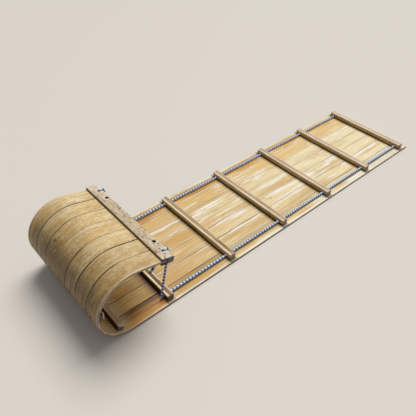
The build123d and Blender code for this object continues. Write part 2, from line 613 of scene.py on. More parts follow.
@dataclass(frozen=True)
class SlatFinish:
    """Honey-coloured varnish over ash, rubbed through to pale wood, stained and dirtied, with painted shade
    in places.

    A spot is the run from the tail, the place across and a radius, in metres.
    """

    plan: Plan
    screw_stains: tuple[Spot, ...]
    knots: tuple[Spot, ...] = (
        (2.018, -0.078, 5.5 * MM), (1.995, -0.141, 3.5 * MM), (0.872, 0.064, 3.5 * MM),
        (0.41, -0.118, 3 * MM))
    honey: tuple[str, ...] = ("#cfa55c", "#dcbd7c", "#e8d09a")
    streak: str = "#b58745"
    grain_dark: str = "#b98f50"
    grain_pale: str = "#fbebc2"
    # Paler towards the tail, partly wear and partly painted light.
    tail_pale: str = "#f8e7b8"
    rich: str = "#e9bc60"
    sunny: str = "#f8c56c"
    mottle_dark: str = "#a1854c"
    mottle_pale: str = "#f0e0b6"
    weathered: tuple[str, ...] = ("#4f3f27", "#786443", "#9c865c")
    speckle_dark: str = "#a07a50"
    speckle_pale: str = "#f0e2c4"
    # Painted shade low on the bend, and on its left slats.
    soiled: str = "#c7b8a3"
    left_bend_shade: str = "#ece8e2"
    rubbed: tuple[str, ...] = ("#ecdcba", "#fffaf0")
    bare: str = "#fffaf0"
    deeper: str = "#f0deba"
    foremost: str = "#ded8b4"
    # Painted shade in front of the tie crosspiece.
    tie_foot_shade: str = "#a89070"
    foremost_left: str = "#8d7a63"
    foremost_rim: str = "#ffb450"
    amber: str = "#d99f42"
    amber_dark: str = "#a5611e"
    outer: str = "#f5ead6"
    left_rim: str = "#f5ebd2"
    # Dirt in the joints, and dirt with painted shade at the crosspieces' feet.
    soot_and_shade: str = "#35281a"
    # Painted shadow under the ropes.
    rope_shade: str = "#1d150c"
    # Painted shade on the right of each rope.
    rope_side_shade: str = "#c3c1bd"
    # Greys the left slat between its joint and the rope.
    left_strip_grey: str = "#dde8ec"
    left_tail: str = "#f2efec"
    left_fifth: str = "#f3f7ee"
    bar_shade: str = "#4f3a22"
    spot: str = "#4b3a22"
    # Painted shade on the flanks along the bed, and at their foot.
    flank_bed_shade: str = "#5a4633"
    flank_bend: tuple[str, ...] = ("#85776c", "#a99a92", "#cfc2b8")
    flank_foot_shade: str = "#66543c"
    inside: tuple[str, ...] = ("#bd9d6a", "#e0c28e", "#ecd3a4")
    pores: tuple[str, ...] = ("#b9b0a2", "#ffffff")

    def build(self) -> bpy.types.Material:
        """Return the slats' material, which reads the attributes grain, place and marks."""
        return SlatCoats(self).lay()


class SlatCoats(NodeSheet):
    """Lays the slats' coats one over another.

    Run is in metres from the tail along the slats, across and side in metres from the sled's middle.
    Before_tie is where the painted shade and the grey strip beside and under the ropes end.
    """

    before_tie: float = 1.52

    def __init__(self, look: SlatFinish) -> None:
        """Read the slats' attributes and make the values that several coats follow.

        Args:
            look: The slats' colours.
        """
        super().__init__("slat_varnish")
        self.look = look
        self.grain = self.attribute("grain")
        self.edge, self.depth, self.openness = self.parts(self.attribute("place"))
        self.worn, self.stained, self.greyed = self.parts(self.attribute("marks"))
        self.run, self.across, _ = self.parts(self.grain)
        self.side = self.math("ABSOLUTE", self.across)
        self.bed_end = look.plan.bed_length
        self.broad = self.noise((2.6, 17, 9), 3, 0.5)
        self.streak = self.noise((6, 190, 90), 4, 0.62, 0.4, 3)
        self.fine = self.noise((16, 1100, 500), 2, 0.5, 0, 21)
        self.weather = self.noise((7, 120, 10), 5, 0.66, 0.4, 13)
        self.on_bend = self.band(self.run, self.bed_end - 0.02, self.bed_end + 0.1)
        cloud = self.noise((4, 64, 3), 5, 0.64, 0.5, 5)
        blotch = self.noise((22, 46, 3), 5, 0.68, 0.6, 41)
        to_blotch = self.product(self.on_bend, self.math("SUBTRACT", blotch, cloud))
        self.cloud = self.math("ADD", cloud, to_blotch)
        self.foremost = self.between(self.run, (1.545, 1.575), (self.bed_end + 0.02, self.bed_end + 0.05))
        self.on_left_slat = self.band(self.across, 164 * MM, 169 * MM)
        self.on_top = self.band(self.depth, 5 * MM, 7 * MM)

    def lay_varnish(self) -> None:
        """Lay the honey-coloured ground, paler towards the tail by wear and painted light, and richer on the
        right side.
        """
        run, across, look = self.run, self.across, self.look
        self.colour = self.ramp(self.broad, (0.3, 0.5, 0.7), look.honey)
        self.coat(self.band(self.streak, 0.5, 0.72, 0, 0.5), look.streak)
        lines = self.noise((3.5, 95, 12), 4, 0.7, 0.3, 31)
        self.coat(self.band(lines, 0.54, 0.68, 0, 0.4), look.grain_dark)
        self.coat(self.band(lines, 0.46, 0.34, 0, 0.5), look.grain_pale)
        # Paler towards the tail: partly wear, partly painted light.
        tail_pale = self.math("ADD", self.band(run, 0.1, 1.45, 0.75, 0),
                          self.band(self.broad, 0.3, 0.7, -0.25, 0.25))
        self.coat(self.band(tail_pale, 0.1, 0.9, 0, 0.8), look.tail_pale)
        patches = self.band(self.noise((3, 26, 5), 3, 0.6, 0.4, 37), 0.4, 0.56)
        bed_side = self.band(run, self.bed_end - 0.05, self.bed_end + 0.02, 0.6, 0)
        stronger_aft = self.band(run, 0.3, 0.9, 1.4, 1)
        right = self.band(across, -0.085, -0.125)
        self.coat(self.product(right, patches, bed_side, stronger_aft), look.rich)
        strip = self.between(across, (-192, -188), (-167, -163), MM)
        self.coat(self.product(strip, self.band(run, 0.75, 1.15, 0.62, 0)), look.sunny)

    def weather_bend(self) -> None:
        """Mottle the varnish, grey the bend where it rubs on the ground, and paint shade low on the bend and
        on its left slats.
        """
        run, look, end = self.run, self.look, self.bed_end
        mottle = self.noise((30, 55, 20), 4, 0.66, 0.5, 25)
        dark = self.product(self.band(mottle, 0.5, 0.7, 0, 0.28), self.math("ADD", self.on_bend, 0.6))
        self.coat(dark, look.mottle_dark)
        self.coat(self.product(self.band(mottle, 0.5, 0.34, 0, 0.55), self.on_bend), look.mottle_pale)
        uneven = self.math("ADD", self.greyed, self.band(self.weather, 0.3, 0.7, -0.25, 0.25))
        self.coat(self.product(self.band(uneven, 0.1, 0.95), 0.9),
                  self.ramp(self.weather, (0.34, 0.5, 0.66), look.weathered))
        speckle = self.noise((130, 190, 20), 3, 0.7, 0.8, 33)
        crackle = self.product(self.on_bend, self.band(run, end + 0.18, end + 0.34))
        self.coat(self.product(crackle, self.band(speckle, 0.52, 0.66, 0, 0.5)), look.speckle_dark)
        self.coat(self.product(crackle, self.band(speckle, 0.46, 0.34, 0, 0.55)), look.speckle_pale)
        # Painted shade low on the bend, and on the bend's left slats.
        self.shade(self.between(run, (end + 0.03, end + 0.1), (end + 0.2, end + 0.5)), look.soiled)
        self.shade(self.product(self.on_bend, self.band(self.across, 0.09, 0.125)), look.left_bend_shade)

    def rub_through(self) -> Socket:
        """Bare the wood where the slats are rubbed, in scratches and clouds.

        Returns:
            How bare each point is.
        """
        end = self.bed_end
        scratch = self.noise((10, 300, 3), 3, 0.62, 0, 7)
        rubbed = self.math("ADD", self.worn, self.band(self.cloud, 0.25, 0.75, -0.6, 0.6))
        rubbed = self.math("ADD", rubbed, self.band(scratch, 0.3, 0.7, -0.36, 0.36))
        rubbed = self.math("SUBTRACT", rubbed, self.band(self.run, end - 0.05, end + 0.05, 0, 0.22))
        bare = self.product(self.band(rubbed, 0.42, 0.62),
                            self.math("SUBTRACT", 1, self.product(self.on_bend, 0.68)))
        self.coat(self.product(bare, 0.95), self.ramp(self.cloud, (0.4, 0.58), self.look.rubbed))
        return bare

    def darken_forward(self) -> None:
        """Deepen the bed towards the bend, most of all in the bay under the curl, and paint shade just in
        front of the tie crosspiece.
        """
        run, look = self.run, self.look
        self.shade(self.between(run, (1.18, 1.58), (self.bed_end, self.bed_end + 0.1)), look.deeper)
        self.shade(self.foremost, look.foremost)
        # Painted shade on the bed just in front of the tie crosspiece.
        self.shade(self.product(self.foremost, self.band(run, 1.61, 1.565)), look.tie_foot_shade)

    def stain_amber(self) -> None:
        """Leave thick amber varnish where hands and feet don't reach, beside the ropes."""
        look = self.look
        patches = self.noise((5, 90, 1), 4, 0.65, 0.3, 9)
        stain = self.math("ADD", self.stained, self.band(patches, 0.3, 0.7, -0.48, 0.48))
        deepness = self.math("ADD", self.stained, self.product(self.streak, 0.6))
        deep = self.blend(self.band(deepness, 1.1, 1.5), look.amber, look.amber_dark)
        self.coat(self.product(self.band(stain, 0.3, 0.75), 0.9), deep)

    def wear_edges(self) -> None:
        """Rub the slats' edges pale, in broken lines at the joints and in a broader rim at the sides."""
        run, side, look, end = self.run, self.side, self.look, self.bed_end
        broken = self.band(self.noise((5, 14, 1), 4, 0.66, 0, 2), 0.44, 0.58, 0.08, 1)
        inboard = self.band(side, 205 * MM, 215 * MM, 1, 0)
        before_bay = self.band(run, 1.53, 1.56, 1, 0.25)
        on_bed = self.band(run, end - 0.05, end + 0.1, 1, 0.34)
        pale_edge = self.band(self.edge, 0.8 * MM, 3.4 * MM, 1, 0)
        self.coat(self.product(pale_edge, broken, inboard, before_bay, on_bed, 0.9), look.bare)
        ragged = self.band(self.noise((5, 30, 1), 4, 0.66, 0, 11), 0.42, 0.54, 0.2, 0.95)
        on_bed = self.band(run, end - 0.05, end + 0.05, 1, 0.3)
        self.coat(self.product(self.band(side, 216 * MM, 226.5 * MM), on_bed, ragged), look.outer)
        broader_aft = self.math("ADD", self.across, self.band(run, 0.2, 0.6, 2 * MM, 0))
        uneven = self.band(self.noise((9, 30, 1), 4, 0.66, 0, 43), 0.3, 0.5, 0.7, 1)
        rim = self.product(self.band(broader_aft, 216.5 * MM, 221 * MM), self.band(run, 1.15, 1.3, 0.9, 0))
        self.coat(self.product(rim, uneven), look.left_rim)

    def fill_joints(self) -> None:
        """Darken the slats' edges with the dirt in the open joints, wider on their left edge."""
        left_edge = self.band(self.openness, -0.01, 0.01, 1, 0)
        wide = self.product(left_edge, self.band(self.edge, 0.6 * MM, 3.4 * MM, 1, 0))
        line = self.math("MAXIMUM", wide, self.band(self.edge, 0.2 * MM, 1.5 * MM, 0.9, 0))
        broken = self.band(self.noise((12, 8, 1), 4, 0.65, 0, 17), 0.36, 0.56, 0.35, 1)
        dirt = self.product(line, self.band(self.side, 200 * MM, 203 * MM, 1, 0), broken)
        gape = self.band(self.math("ABSOLUTE", self.openness), 0.05, 0.8, 0.3, 0.95)
        self.coat(self.product(dirt, gape), self.look.soot_and_shade)

    def shade_bar_feet_and_ropes(self) -> None:
        """Darken the top of the bed at the crosspieces' feet with dirt and painted shade, and paint a shadow
        under the ropes.
        """
        run, plan, pitch = self.run, self.look.plan, self.look.plan.crosspiece_pitch
        past_face = self.math("SUBTRACT", run, plan.crosspiece_faces[0] - plan.tail_x)
        along_bay = self.math("MODULO", self.math("ADD", past_face, pitch), pitch)
        # Dirt and painted shade on the bed at the feet of the crosspieces.
        feet_dirt_and_shade = self.math("MAXIMUM", self.band(along_bay, 3.5 * MM, 8 * MM, 1.6, 0),
                           self.band(along_bay, pitch - 32 * MM, pitch - 26 * MM))
        on_bed = self.band(run, self.bed_end - 0.1, self.bed_end - 0.08, 1, 0)
        self.coat(self.product(feet_dirt_and_shade, on_bed, self.on_top, 0.5), self.look.soot_and_shade)
        # A painted shadow: a dark line on the slats under each rope, fainter on the right.
        shadow_under_rope = self.product(
            self.between(self.side, (189.2, 190.2), (194.4, 195.4), MM),
            self.between(run, (0.04, 0.045), (self.before_tie, self.before_tie + 0.015)), self.on_top)
        right_fainter = self.band(self.across, -0.01, 0.01, 0.74, 0.95)
        self.coat(self.product(shadow_under_rope, right_fainter), self.look.rope_shade)

    def dull_sides(self) -> None:
        """Dull the strip on the right of each rope with painted shade, and grey and tint the left slat in
        places.
        """
        run, across, look = self.run, self.across, self.look
        tie = self.before_tie
        # Painted shade on the right of each rope.
        beside = self.math("ADD", self.between(across, (179, 183), (187, 189), MM),
                           self.between(across, (-219, -212), (-203, -199), MM))
        strength = self.product(self.band(run, 0.2, 0.7, 0.25, 0.9), self.band(run, tie, tie + 0.015, 1, 0))
        self.shade(self.product(beside, strength), look.rope_side_shade)
        # Greyer on the left slat between its joint and the rope, more towards the front.
        strip = self.product(self.on_left_slat, self.band(across, 186 * MM, 188 * MM, 1, 0))
        strength = self.product(self.band(run, 0.9, 1.3, 0.3, 1), self.band(run, tie, tie + 0.01, 1, 0))
        self.shade(self.product(strip, strength), look.left_strip_grey)
        for start, end, tint in ((-0.1, 0.32, look.left_tail), (1.22, tie, look.left_fifth)):
            stretch = self.between(run, (start, start + 0.03), (end - 0.03, end))
            self.shade(self.product(self.on_left_slat, stretch), tint)
        wavering = self.math("ADD", across, self.product(self.cloud, 0.06))
        self.shade(self.product(self.foremost, self.on_left_slat, self.band(wavering, 0.205, 0.232, 1, 0)),
                   look.foremost_left)
        rim = self.product(self.foremost, self.band(across, 0.196, 0.208), 0.4)
        self.coat(rim, look.foremost_rim)

    def shade_under_bar(self) -> None:
        """Darken the slats' tips just before they enter the head bar."""
        plan = self.look.plan
        bar_front = self.bed_end + plan.bend_run + plan.lip_length
        shaded = self.band(self.run, bar_front - 4 * MM, bar_front - 0.5 * MM)
        self.coat(self.product(shaded, 0.65), self.look.bar_shade)

    def dot_spots(self) -> None:
        """Dot the slats with knots, and with dark rings round the screws of the nose."""
        for place_run, place_across, radius in self.look.knots + self.look.screw_stains:
            away = self.node("ShaderNodeVectorMath", operation="LENGTH")
            flat = self.node("ShaderNodeCombineXYZ")
            self.feed(flat.inputs[0], self.product(self.math("SUBTRACT", self.run, place_run), 0.8))
            self.feed(flat.inputs[1], self.math("SUBTRACT", self.across, place_across))
            self.feed(away.inputs[0], flat.outputs[0])
            share = self.band(away.outputs["Value"], 0.2 * radius, 1.5 * radius, 0.85, 0)
            self.coat(share, self.look.spot)

    def weather_flanks(self) -> None:
        """Colour the sawn flanks of the outermost slats, dark with painted shade along the bed and at their
        foot and grey on the bend, and leave the inside of the bend clean.
        """
        look = self.look
        past_bed = self.band(self.run, self.bed_end - 20 * MM, self.bed_end + 60 * MM)
        flank = self.product(self.band(self.side, 227.9 * MM, 228.4 * MM),
                             self.band(self.edge, 0.1 * MM, 0.6 * MM, 1, 0))
        grey = self.ramp(self.cloud, (0.35, 0.55, 0.7), look.flank_bend)
        # Painted shade: the flanks are dark along the bed and darker still at their foot.
        grey = self.blend(past_bed, look.flank_bed_shade, grey)
        grey = self.blend(self.band(self.depth, 2 * MM, 4.2 * MM, 0.75, 0), grey, look.flank_foot_shade)
        self.coat(flank, grey)
        inside = self.product(self.band(self.depth, 6.5 * MM, 7.5 * MM), past_bed)
        self.coat(self.product(inside, 0.85), self.ramp(self.weather, (0.34, 0.5, 0.66), look.inside))

    def lay(self) -> bpy.types.Material:
        """Lay every coat.

        Returns:
            The finished material.
        """
        self.lay_varnish()
        self.weather_bend()
        bare = self.rub_through()
        self.darken_forward()
        self.stain_amber()
        self.wear_edges()
        self.fill_joints()
        self.shade_bar_feet_and_ropes()
        self.dull_sides()
        self.shade_under_bar()
        self.dot_spots()
        self.weather_flanks()
        self.shade(0.35, self.ramp(self.fine, (0.3, 0.6), self.look.pores))
        weathering = self.band(self.weather, 0.3, 0.7, 0, 0.1)
        rough = self.math("ADD", self.band(bare, 0, 1, 0.42, 0.68), weathering)
        normal = self.bump(self.math("ADD", self.fine, self.product(self.streak, 0.8)), 0.35, 0.35 * MM)
        return self.finish(rough, normal, Specular_IOR_Level=0.4)


@dataclass(frozen=True)
class BarFinish:
    """Weathered wood of a straight bar, pale along its worn edges, partly with a painted highlight there, and
    dark at its foot with painted shade.
    """

    top: tuple[str, ...] = ("#b3977e", "#e6cdb2", "#ecd8c0")
    top_forward: str = "#c4b89a"
    top_middle: str = "#d8ccc2"
    strip_top: tuple[str, ...] = ("#a08468", "#c4a888", "#dcc8ae")
    face: tuple[str, ...] = ("#8f7548", "#bf9e6c", "#d4b884")
    tie_face: str = "#5e4c3c"
    # Painted shade at the faces' foot.
    foot: str = "#402f1c"
    # Pale worn edges, the front one partly a painted highlight.
    worn: str = "#f6e2bd"
    end_grain: tuple[str, ...] = ("#5c5546", "#a3957f", "#b8ab95")
    tie_end: str = "#b4ada6"
    check: str = "#4a3726"
    line: str = "#4c3928"
    strip_end: str = "#e2d3b6"
    speck: str = "#efe4cb"
    # Painted shade on the walls of holes and cracks.
    bore: str = "#1d150d"

    def build(self) -> bpy.types.Material:
        """Return the bars' material, which reads the attributes grain, place, bore and tone, and paints shade
        on the bores' walls.
        """
        return BarCoats(self).lay()


class BarCoats(NodeSheet):
    """Lays the bars' coats one over another.

    Tone is 0 at the tail's crosspiece, 1 at the tie crosspiece and more on the strips inside the bend.
    Along, across and height are shares of the bar's half length, half depth and height.
    """

    def __init__(self, look: BarFinish) -> None:
        """Read the bars' attributes and make the values that several coats follow.

        Args:
            look: The bars' colours.
        """
        super().__init__("crosspiece_weathered")
        self.look = look
        self.grain = self.attribute("grain")
        self.along, self.across, self.height = self.parts(self.attribute("place"))
        self.streak = self.noise((8, 230, 230), 4, 0.62, 0.3)
        self.tone = self.attribute("tone", "Fac")
        self.rubbed = self.band(self.noise((14, 60, 60), 3, 0.6, 0, 5), 0.32, 0.55, 0.5, 1)
        self.on_strip = self.band(self.tone, 1.05, 1.15)

    def lay_wood(self) -> None:
        """Lay the bleached top, the browner faces and their dark foot, which is painted shade."""
        tone, streak, look = self.tone, self.streak, self.look
        self.colour = self.ramp(streak, (0.34, 0.52, 0.7), look.top)
        self.shade(self.band(tone, -0.1, 1.1), look.top_forward)
        self.shade(self.product(self.band(self.across, 0.2, 0.5, 1, 0), 0.3), look.top_middle)
        self.coat(self.on_strip, self.ramp(streak, (0.34, 0.52, 0.7), look.strip_top))
        face = self.ramp(streak, (0.33, 0.5, 0.7), look.face)
        face = self.blend(self.band(tone, 0.9, 0.98), face, look.tie_face, "MULTIPLY")
        self.colour = self.blend(self.band(self.height, 0.8, 0.9), face, self.colour)
        # Painted shade at the foot of the faces, where they sit on the slats.
        foot = self.band(self.math("ADD", self.height, self.product(streak, 0.4)), 0.25, 0.6, 0.9, 0)
        self.coat(foot, look.foot)

    def wear_edges(self) -> None:
        """Rub the top's front edge pale, partly as a painted highlight, and its rear edge towards the nose.
        """
        tone = self.tone
        rear_share = self.band(tone, 0.85, 0.95, 0.5, 0.9)
        away = self.math("MAXIMUM", self.across,
                         self.product(self.math("ABSOLUTE", self.across), rear_share))
        edge = self.product(self.band(away, 0.3, 0.52), self.band(self.height, 0.78, 0.88), self.rubbed,
                            self.band(tone, 1.05, 1.15, 1, 0.25))
        # The pale front edge: partly wear, partly a painted highlight.
        self.coat(self.product(edge, 0.95), self.look.worn)

    def show_end_grain(self) -> None:
        """Grey the sawn ends, with their growth rings."""
        ends = self.band(self.math("ABSOLUTE", self.along), 0.984, 0.992)
        rings = self.noise((30, 420, 700), 3, 0.6, 0.6, 8)
        colour = self.ramp(rings, (0.35, 0.6, 0.75), self.look.end_grain)
        colour = self.blend(self.band(self.tone, 0.9, 0.98), colour, self.look.tie_end, "MULTIPLY")
        self.coat(self.product(ends, 0.9), colour)

    def draw_lines(self) -> Socket:
        """Draw the drying checks and the fine dark lines along the top.
        """
        across, look = self.across, self.look
        check = self.band(self.noise((6, 330, 330), 3, 0.6, 0.2, 15), 0.62, 0.69)
        self.coat(self.product(check, 0.75), look.check)
        waver = self.product(self.noise((5, 12, 12), 2, 0.5, 0, 27), 3)
        ripple = self.math("SINE", self.math("ADD", self.product(across, 10.5), waver))
        broken = self.band(self.noise((9, 60, 60), 3, 0.6, 0, 28), 0.4, 0.5)
        lines = self.product(self.band(ripple, 0.5, 0.8), self.between(across, (-0.8, -0.65), (0.2, 0.36)),
                             self.band(self.height, 0.9, 0.95), broken)
        left_half = self.product(self.band(self.along, -0.1, 0.3), self.band(self.tone, 0.7, 0.8))
        stronger = self.math("ADD", self.product(left_half, 0.55), 0.26)
        self.coat(self.product(lines, stronger), look.line)
        return check

    def lay(self) -> bpy.types.Material:
        """Lay every coat.

        Returns:
            The finished material.
        """
        look = self.look
        self.lay_wood()
        self.wear_edges()
        self.show_end_grain()
        check = self.draw_lines()
        strip_end = self.product(self.on_strip, self.band(self.along, 0.92, 0.975),
                                 self.band(self.height, 0.7, 0.9), self.rubbed, 0.7)
        self.coat(strip_end, look.strip_end)
        speck = self.band(self.noise((120, 380, 380), 2, 0.5, 0, 9), 0.66, 0.76)
        self.coat(self.product(speck, 0.4), look.speck)
        # Painted shade on the walls of the rope holes and cracks.
        self.coat(self.product(self.attribute("bore", "Fac"), 0.9), look.bore)
        normal = self.bump(self.math("SUBTRACT", self.streak, check), 0.5, 0.6 * MM)
        return self.finish(self.band(self.streak, 0.3, 0.7, 0.55, 0.78), normal, Specular_IOR_Level=0.35)


@dataclass(frozen=True)
class HeadBarFinish:
    """Sun-bleached grey and tan wood with dark flecks and pale wear round its holes."""

    tan: tuple[str, ...] = ("#b59b77", "#cdb38f", "#dccaab")
    grey_tinge: str = "#b9ad96"
    pink_tinge: str = "#dcc0a4"
    halo: str = "#f3ecdf"
    rear_edge: str = "#e5d6b6"
    fleck: str = "#5c5444"
    dent: str = "#4b4539"
    pale_speck: str = "#e8dcc4"
    shade: str = "#6a5031"
    end_grain: tuple[str, ...] = ("#45444a", "#75747b", "#9c9a9c")
    end_shade: str = "#2a2420"
    # Painted shade on the walls of the holes.
    bore: str = "#17110b"

    def fleck_wood(self, sheet: NodeSheet) -> Socket:
        """Scatter dark flecks, dents and pale specks over the wood.

        Args:
            sheet: The material's nodes.

        Returns:
            Where the flecks and the dents are.
        """
        flecks = sheet.band(sheet.noise((80, 150, 150), 4, 0.7, 0.6, 4), 0.535, 0.62)
        sheet.coat(sheet.product(flecks, 0.8), self.fleck)
        dents = sheet.band(sheet.noise((38, 75, 75), 3, 0.6, 0.5, 14), 0.63, 0.69)
        sheet.coat(sheet.product(dents, 0.8), self.dent)
        pale = sheet.band(sheet.noise((110, 330, 330), 3, 0.6, 0, 8), 0.6, 0.7)
        sheet.coat(sheet.product(pale, 0.5), self.pale_speck)
        return sheet.math("ADD", flecks, dents)

    def build(self) -> bpy.types.Material:
        """Write the material.

        Returns:
            The head bar's material, which reads the attributes grain, place, halo and bore, and paints shade
            on the bores' walls.
        """
        sheet = NodeSheet("head_bar_weathered")
        sheet.grain = sheet.attribute("grain")
        along, across, height = sheet.parts(sheet.attribute("place"))
        from_middle = sheet.math("ABSOLUTE", along)
        streak = sheet.noise((10, 240, 240), 4, 0.62, 0.2)
        sheet.colour = sheet.ramp(streak, (0.33, 0.5, 0.68), self.tan)
        tinge = sheet.noise((22, 40, 40), 2, 0.5, 0, 19)
        sheet.coat(sheet.band(tinge, 0.4, 0.62, 0, 0.5), self.grey_tinge)
        sheet.coat(sheet.band(tinge, 0.42, 0.3, 0, 0.5), self.pink_tinge)
        halo = sheet.math("MAXIMUM", sheet.attribute("halo", "Fac"),
                          sheet.product(sheet.band(from_middle, 0.8, 0.96), 0.5))
        uneven = sheet.band(sheet.noise((45, 90, 90), 3, 0.6, 0, 6), 0.3, 0.55, 0.3, 1)
        sheet.coat(sheet.product(halo, uneven, 0.7), self.halo)
        ragged = sheet.band(sheet.noise((16, 50, 50), 3, 0.6, 0, 12), 0.35, 0.6, 0.2, 0.9)
        sheet.coat(sheet.product(sheet.band(across, 0.55, 0.85), sheet.band(height, 0.6, 0.8), ragged),
                   self.rear_edge)
        hollows = self.fleck_wood(sheet)
        front = sheet.math("MAXIMUM", sheet.band(height, 0.45, 0.8, 0.9, 0),
                           sheet.band(across, -0.99, -0.9, 0.9, 0))
        sheet.coat(front, self.shade)
        rings = sheet.noise((30, 500, 900), 3, 0.6, 0.6, 8)
        end_colour = sheet.ramp(rings, (0.35, 0.55, 0.75), self.end_grain)
        end_colour = sheet.blend(sheet.band(across, -0.2, 0.15, 0.85, 0), end_colour, self.end_shade)
        sheet.coat(sheet.product(sheet.band(from_middle, 0.988, 0.995), 0.92), end_colour)
        # Painted shade on the walls of the holes.
        sheet.coat(sheet.product(sheet.attribute("bore", "Fac"), 0.92), self.bore)
        normal = sheet.bump(sheet.math("SUBTRACT", streak, hollows), 0.55, 0.7 * MM)
        return sheet.finish(0.72, normal, Specular_IOR_Level=0.3)


@dataclass(frozen=True)
class RopeFinish:
    """Blue and white braid, each strand of fine yarns."""

    blue: tuple[str, str] = ("#083f94", "#1466cc")
    white: tuple[str, str] = ("#cfe2fa", "#f0f9ff")
    # The rope's colours under painted shade.
    shaded_white: str = "#b0c2ea"
    shaded_blue: str = "#0b1850"

    def build(self) -> bpy.types.Material:
        """Write the material.

        Returns:
            The ropes' material, which reads the attributes strand, dye and dusk, the last a share of painted
            shade.
        """
        sheet = NodeSheet("rope_braid")
        sheet.grain = sheet.attribute("strand")
        dye = sheet.attribute("dye", "Fac")
        yarn = sheet.noise((60, 900, 1), 2, 0.5)
        sheet.colour = sheet.ramp(yarn, (0.3, 0.6), self.white)
        sheet.coat(dye, sheet.ramp(yarn, (0.3, 0.62), self.blue))
        # Painted shade on the rope where it leaves the bed, up to the head bar's top.
        dark = sheet.blend(sheet.band(dye, 0, 0.7), self.shaded_white, self.shaded_blue)
        sheet.coat(sheet.product(sheet.attribute("painted_shade", "Fac"), 0.95), dark)
        return sheet.finish(0.75, sheet.bump(yarn, 0.5, 0.3 * MM), Sheen_Weight=0.15)


@dataclass(frozen=True)
class SteelFinish:
    """Dull screw heads, browned by rust."""

    rust: tuple[str, ...] = ("#241c18", "#3b3531", "#5f5a55")

    def build(self) -> bpy.types.Material:
        """Write the material.

        Returns:
            The finished material.
        """
        sheet = NodeSheet("screw_steel")
        sheet.grain = sheet.node("ShaderNodeTexCoord").outputs["Object"]
        rust = sheet.noise((900, 900, 900), 3, 0.6)
        sheet.colour = sheet.ramp(rust, (0.35, 0.55, 0.75), self.rust)
        rough = sheet.band(rust, 0.3, 0.7, 0.7, 0.4)
        return sheet.finish(rough, sheet.bump(rust, 0.3, 0.2 * MM), Metallic=0.7)


# Sub-assemblies

def show(piece: Piece, slot: str | None, material: bpy.types.Material, *nodes: str) -> None:
    """Dress a finished piece, put it on the sled and log it.

    Args:
        piece: The finished object.
        slot: The record's material slot, or None where it has none; not used.
        material: The piece's finish.
        nodes: The CAD nodes that it stands for.
    """
    piece.data.materials.clear()
    piece.data.materials.append(material)
    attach(piece, BODY)
    if nodes:
        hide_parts(*nodes)
    log.info("%s: %d faces", piece.name, len(piece.data.polygons))


